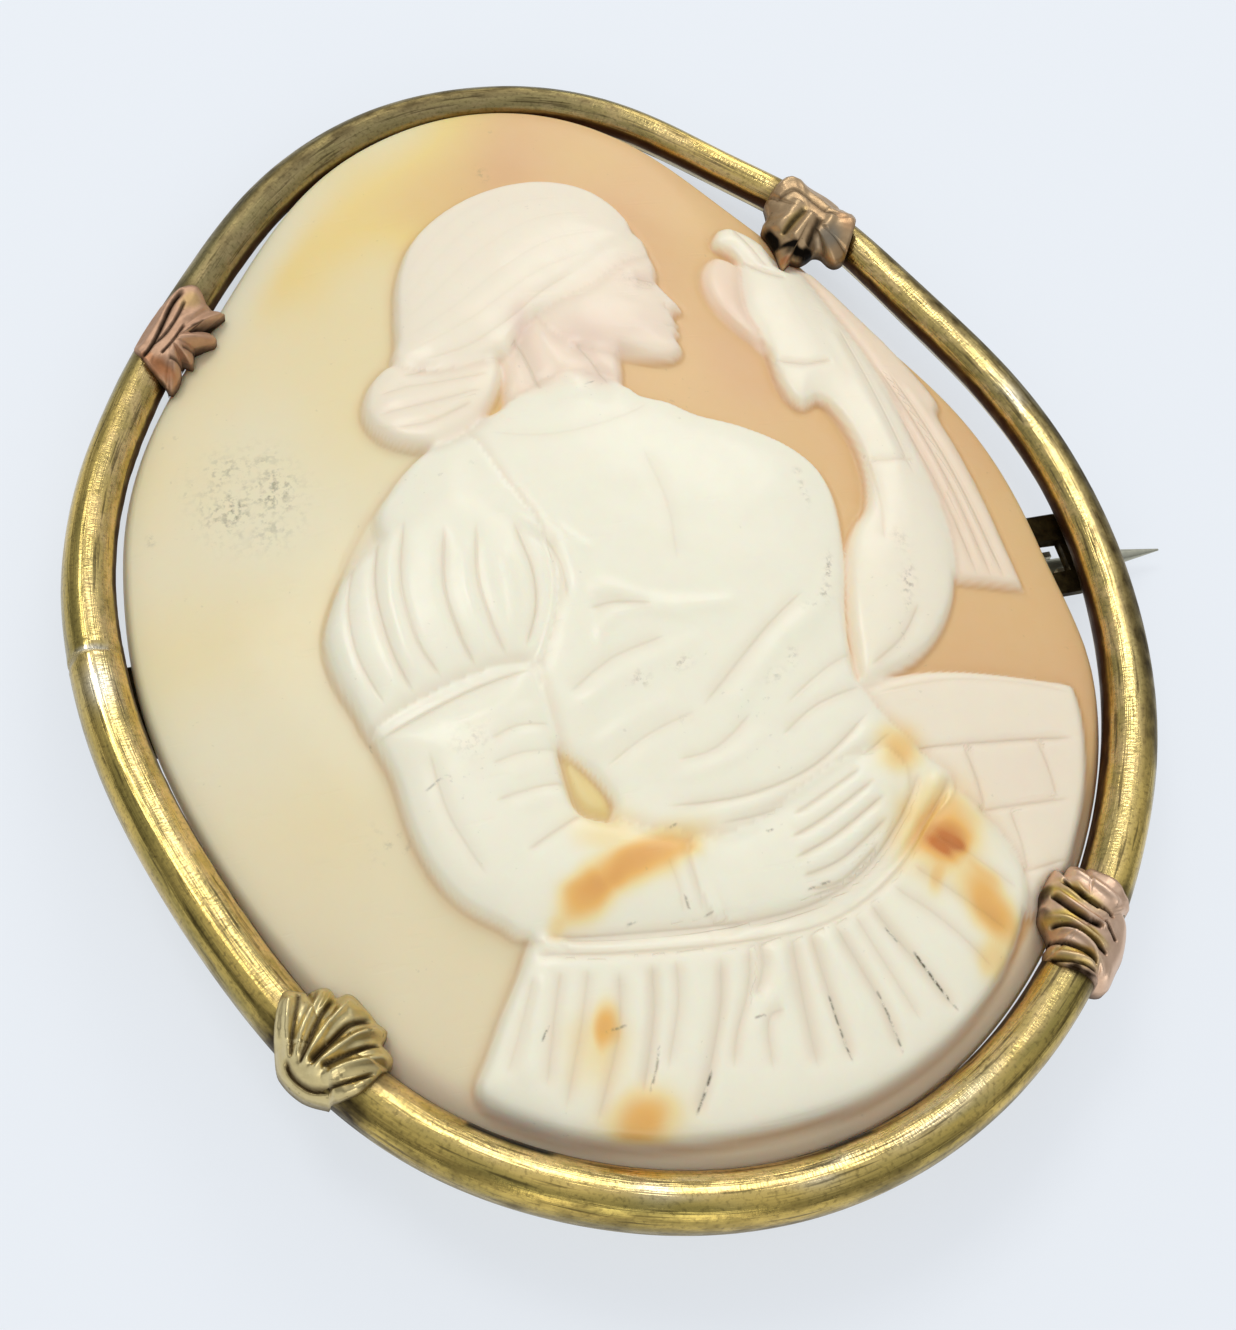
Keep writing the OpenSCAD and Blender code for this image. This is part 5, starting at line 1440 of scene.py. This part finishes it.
def claw_mesh(claw, seed):
    """One claw as a fan of rings round its middle, from its tables of ridges and cuts."""
    rings, columns = CLAW_RINGS, CLAW_COLUMNS
    q = np.arange(columns) * 2 * math.pi / columns
    stretch = claw.get("stretch", (1, 1))
    line = curve(claw["outline"], True, 4) * stretch
    reach = np.array([outline_reach(line, angle) for angle in q])
    s = np.concatenate([[0], np.repeat(np.arange(1, rings + 1) / rings, columns)])
    s = 1 - (1 - s) ** 1.3
    turn = np.concatenate([[0], np.tile(q, rings)])
    r = s * np.concatenate([[0], np.tile(reach, rings)])
    P = np.column_stack([r * np.cos(turn), r * np.sin(turn)])
    tube, face = claw_floor(P + claw["at"])
    rest = np.maximum(tube, face)
    low = np.where(face > -5, np.maximum(face, tube - 0.3), tube - 0.3)
    # The edge stands a plate's thickness above what it lies on, and the middle is domed.
    edge = np.concatenate([[0], np.tile(rest[-columns:], rings)]) + claw["thick"]
    edge[0] = rest[-columns:].mean() + claw["thick"]
    top = edge + (claw["top"] - edge) * (1 - s ** claw["crown"])
    cut, rise = np.zeros(len(s)), np.zeros(len(s))
    for depth, width, points in claw["lines"]:
        points = np.array(points) * stretch
        one = stroke(P, points, width, 0.12)
        top = top + depth * one
        if depth < 0:
            cut = np.maximum(cut, stroke(P, points, 1.5 * width, 0.12) * min(1.0, -depth / 0.16))
        else:
            rise = np.maximum(rise, one * min(1.0, depth / 0.2))
    top = top + 0.014 * lattice_noise(P + 50, 0.6, seed) + 0.004 * lattice_noise(P + 50, 0.25, seed + 1)
    top = np.maximum(np.minimum(top, CLAW_HIGHEST), low + 0.10) - 0.10 * smooth((s - 0.94) / 0.06)
    n = len(s)
    points = np.concatenate([np.column_stack([P + claw["at"], z]) for z in (top, np.minimum(low, top - 0.05))])
    faces = []
    for c in range(columns):
        d = (c + 1) % columns
        faces += [(0, 1 + c, 1 + d), (n, n + 1 + d, n + 1 + c)]
        for k in range(rings - 1):
            i, j = 1 + k * columns + c, 1 + k * columns + d
            faces += [(i, i + columns, j + columns, j), (n + i, n + j, n + j + columns, n + i + columns)]
        i, j = 1 + (rings - 1) * columns + c, 1 + (rings - 1) * columns + d
        faces.append((i, n + i, n + j, j))
    # Darker in the cut grooves (patina), and at the rim and underside, which is partly painted shade; brighter
    # on the ridges: rubbed, and partly a painted highlight.
    looks = {"tarnish_and_shade": 0.9 * cut + 0.35 * smooth((s - 0.96) / 0.04), "rub_and_sheen": rise * (1 - cut)}
    for key, _ in CLAW_PATCHES:
        looks[key] = np.zeros(n)
    wobble = P + 0.10 * lattice_noise(P + 50, 0.4, seed + 2)[:, None]
    for key, x, y, rx, ry, turned, strength in claw["patches"]:
        patch = strength * spot(wobble, x * stretch[0], y * stretch[1], rx, ry, turned, 2.0)
        looks[key] = np.maximum(looks[key], patch)
    under = {"tarnish_and_shade": 0.8}
    return points, faces, {
        key: np.clip(np.append(v, np.full(n, under.get(key, 0.0))), 0, 1) for key, v in looks.items()}


class CAMEO_OT_claws(bpy.types.Operator):
    """Makes the four scallop claws that hold the shell"""
    bl_idname = "cameo.claws"
    bl_label = "Claws"

    def execute(self, context):
        for i, claw in enumerate(CLAWS):
            points, faces, looks = claw_mesh(claw, 60 + 10 * i)
            make_piece(claw["name"], points, faces, claw["finish"], "rim", looks)
        return {"FINISHED"}


# The pin's line behind the frame, and the fittings that hold it.
PIN_Y, PIN_Z = -2.2, -2.8
INNER_X = HALF_W - TUBE_W
HINGE_X, CATCH_X = -INNER_X + 1.2, INNER_X - 0.475
# Both plates: their height, how far they reach out and in from the tube's inner edge, and half their length.
PLATE_TOP, PLATE_LOW = -1.2, -1.8
PLATE_OUT, PLATE_IN, PLATE_HALF_H = 1.25, 2.4, 2.25
# The hinge's ears stand on both sides of the pin's barrel.
EAR_R, EAR_W = 0.9, 0.7
BARREL_HALF, EAR_PLAY = 0.7, 0.1
# The hook's opening, and where it stands along the pin.
HOOK_R = 0.6
HOOK_FROM, HOOK_TO = 0.6, 1.1
HALF_ROUND = np.radians(np.linspace(180, 360, 21))


def arc(r, angles=HALF_ROUND):
    return [(r * math.cos(a), r * math.sin(a)) for a in angles]


def swept_block(outline, low, high, chamfer=0.12):
    """Points and faces of a flat outline between two heights, with a small chamfer at the top and bottom."""
    line = np.asarray(outline, float)
    mid = line.mean(0)
    inner = mid + (line - mid) * (1 - chamfer / np.linalg.norm(line - mid, axis=1, keepdims=True))
    rows = ((inner, low), (line, low + chamfer), (line, high - chamfer), (inner, high))
    points = np.concatenate([np.column_stack([p, np.full(len(p), z)]) for p, z in rows])
    n = len(line)
    faces = [tuple(range(n))[::-1], tuple(range(3 * n, 4 * n))]
    for r in range(3):
        for i in range(n):
            j = (i + 1) % n
            faces.append((r * n + i, r * n + j, (r + 1) * n + j, (r + 1) * n + i))
    return points, faces


def plate_outline(x0, x1, y0, y1, r=0.5, steps=8):
    """A rectangle with round corners, as four runs of points from its upper right corner on."""
    corners = ((x1 - r, y1 - r, 0), (x0 + r, y1 - r, 90), (x0 + r, y0 + r, 180), (x1 - r, y0 + r, 270))
    runs = []
    for cx, cy, start in corners:
        angles = [math.radians(start + 90 * k / steps) for k in range(steps + 1)]
        runs.append([(cx + x, cy + y) for x, y in arc(r, angles)])
    return runs


def make_fitting(name, points, faces, tarnish_and_shade=0.85, pale=0.0):
    looks = {"tarnish_and_shade": tarnish_and_shade, "rub_and_sheen": 0.0, "pale": pale}
    make_piece(name, points, faces, "brass", "rim",
               {key: np.full(len(points), value) for key, value in looks.items()}, flat=True)


class CAMEO_OT_fittings(bpy.types.Operator):
    """Makes the hinge and the catch behind the frame"""
    bl_idname = "cameo.fittings"
    bl_label = "Hinge and catch"

    def execute(self, context):
        hinge = (-INNER_X - PLATE_OUT, -INNER_X + PLATE_IN)
        catch = (INNER_X - PLATE_IN, INNER_X + PLATE_OUT)
        # The catch plate's inner edge is filed out between two feet.
        notch = [(catch[0] + x, PIN_Y + y) for x, y in ((0, 0.85), (3.0, 0.75), (3.0, -1.15), (0, -1.25))]
        for name, (x0, x1), filed in (("hinge_plate", hinge, []), ("catch_plate", catch, notch)):
            first, second, third, fourth = plate_outline(x0, x1, PIN_Y - PLATE_HALF_H, PIN_Y + PLATE_HALF_H)
            line = first + second + filed + third + fourth
            make_fitting(name, *swept_block(line, PLATE_LOW, PLATE_TOP))
        foot = PLATE_LOW - PIN_Z
        for name, side in (("hinge_ear_lower", -1), ("hinge_ear_upper", 1)):
            y = PIN_Y + side * (BARREL_HALF + EAR_PLAY + EAR_W / 2)
            ring = arc(EAR_R) + [(EAR_R * 1.1, foot), (-EAR_R * 1.1, foot)]
            points, faces = swept_block(ring, -EAR_W / 2, EAR_W / 2)
            points = np.column_stack([HINGE_X + points[:, 0], y - points[:, 2], PIN_Z + points[:, 1]])
            make_fitting(name, points, faces)
        lip = 0.1
        outer = arc(EAR_R) + [(EAR_R, lip)]
        inner = [(HOOK_R, lip)] + arc(HOOK_R)[::-1] + [(-HOOK_R, foot)]
        ring = outer + inner + [(-EAR_R, foot)]
        n = len(ring)
        points = np.array([
            (CATCH_X + dx, PIN_Y + a, PIN_Z + b) for dx in (HOOK_FROM, HOOK_TO) for a, b in ring])
        faces = [tuple(range(n)), tuple(range(n, 2 * n))[::-1]]
        faces += [(i, i + n, (i + 1) % n + n, (i + 1) % n) for i in range(n)]
        make_fitting("catch_hook", points, faces, 0.1, 0.9)
        return {"FINISHED"}


class CAMEO_OT_pin(bpy.types.Operator):
    """Gives the pin its dull white metal"""
    bl_idname = "cameo.pin"
    bl_label = "Pin"

    def execute(self, context):
        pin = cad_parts["pin_stem"]
        pin.data.materials.clear()
        pin.data.materials.append(material_for("pin"))
        return {"FINISHED"}


class CAMEO_PT_panel(bpy.types.Panel):
    """Lists the brooch's settings and steps"""
    bl_idname = "CAMEO_PT_panel"
    bl_label = "Cameo brooch"
    bl_space_type = "VIEW_3D"
    bl_region_type = "UI"
    bl_category = "Cameo brooch"

    def draw(self, context):
        for group in (context.scene.cameo_sizes, context.scene.cameo_colours):
            box = self.layout.box()
            for key in group.__annotations__:
                box.prop(group, key)
        for step in STEPS:
            self.layout.operator(step.bl_idname)


STEPS = (CAMEO_OT_stage, CAMEO_OT_shell, CAMEO_OT_tube, CAMEO_OT_claws, CAMEO_OT_fittings, CAMEO_OT_pin)
CLASSES = (CameoSizes, CameoColours, *STEPS, CAMEO_PT_panel)


def register():
    for c in CLASSES:
        bpy.utils.register_class(c)
    bpy.types.Scene.cameo_sizes = PointerProperty(type=CameoSizes)
    bpy.types.Scene.cameo_colours = PointerProperty(type=CameoColours)


def unregister():
    del bpy.types.Scene.cameo_sizes
    del bpy.types.Scene.cameo_colours
    for c in reversed(CLASSES):
        bpy.utils.unregister_class(c)


def main():
    register()
    for step in STEPS:
        group, name = step.bl_idname.split(".")
        getattr(getattr(bpy.ops, group), name)()


if __name__ == "__main__":
    main()
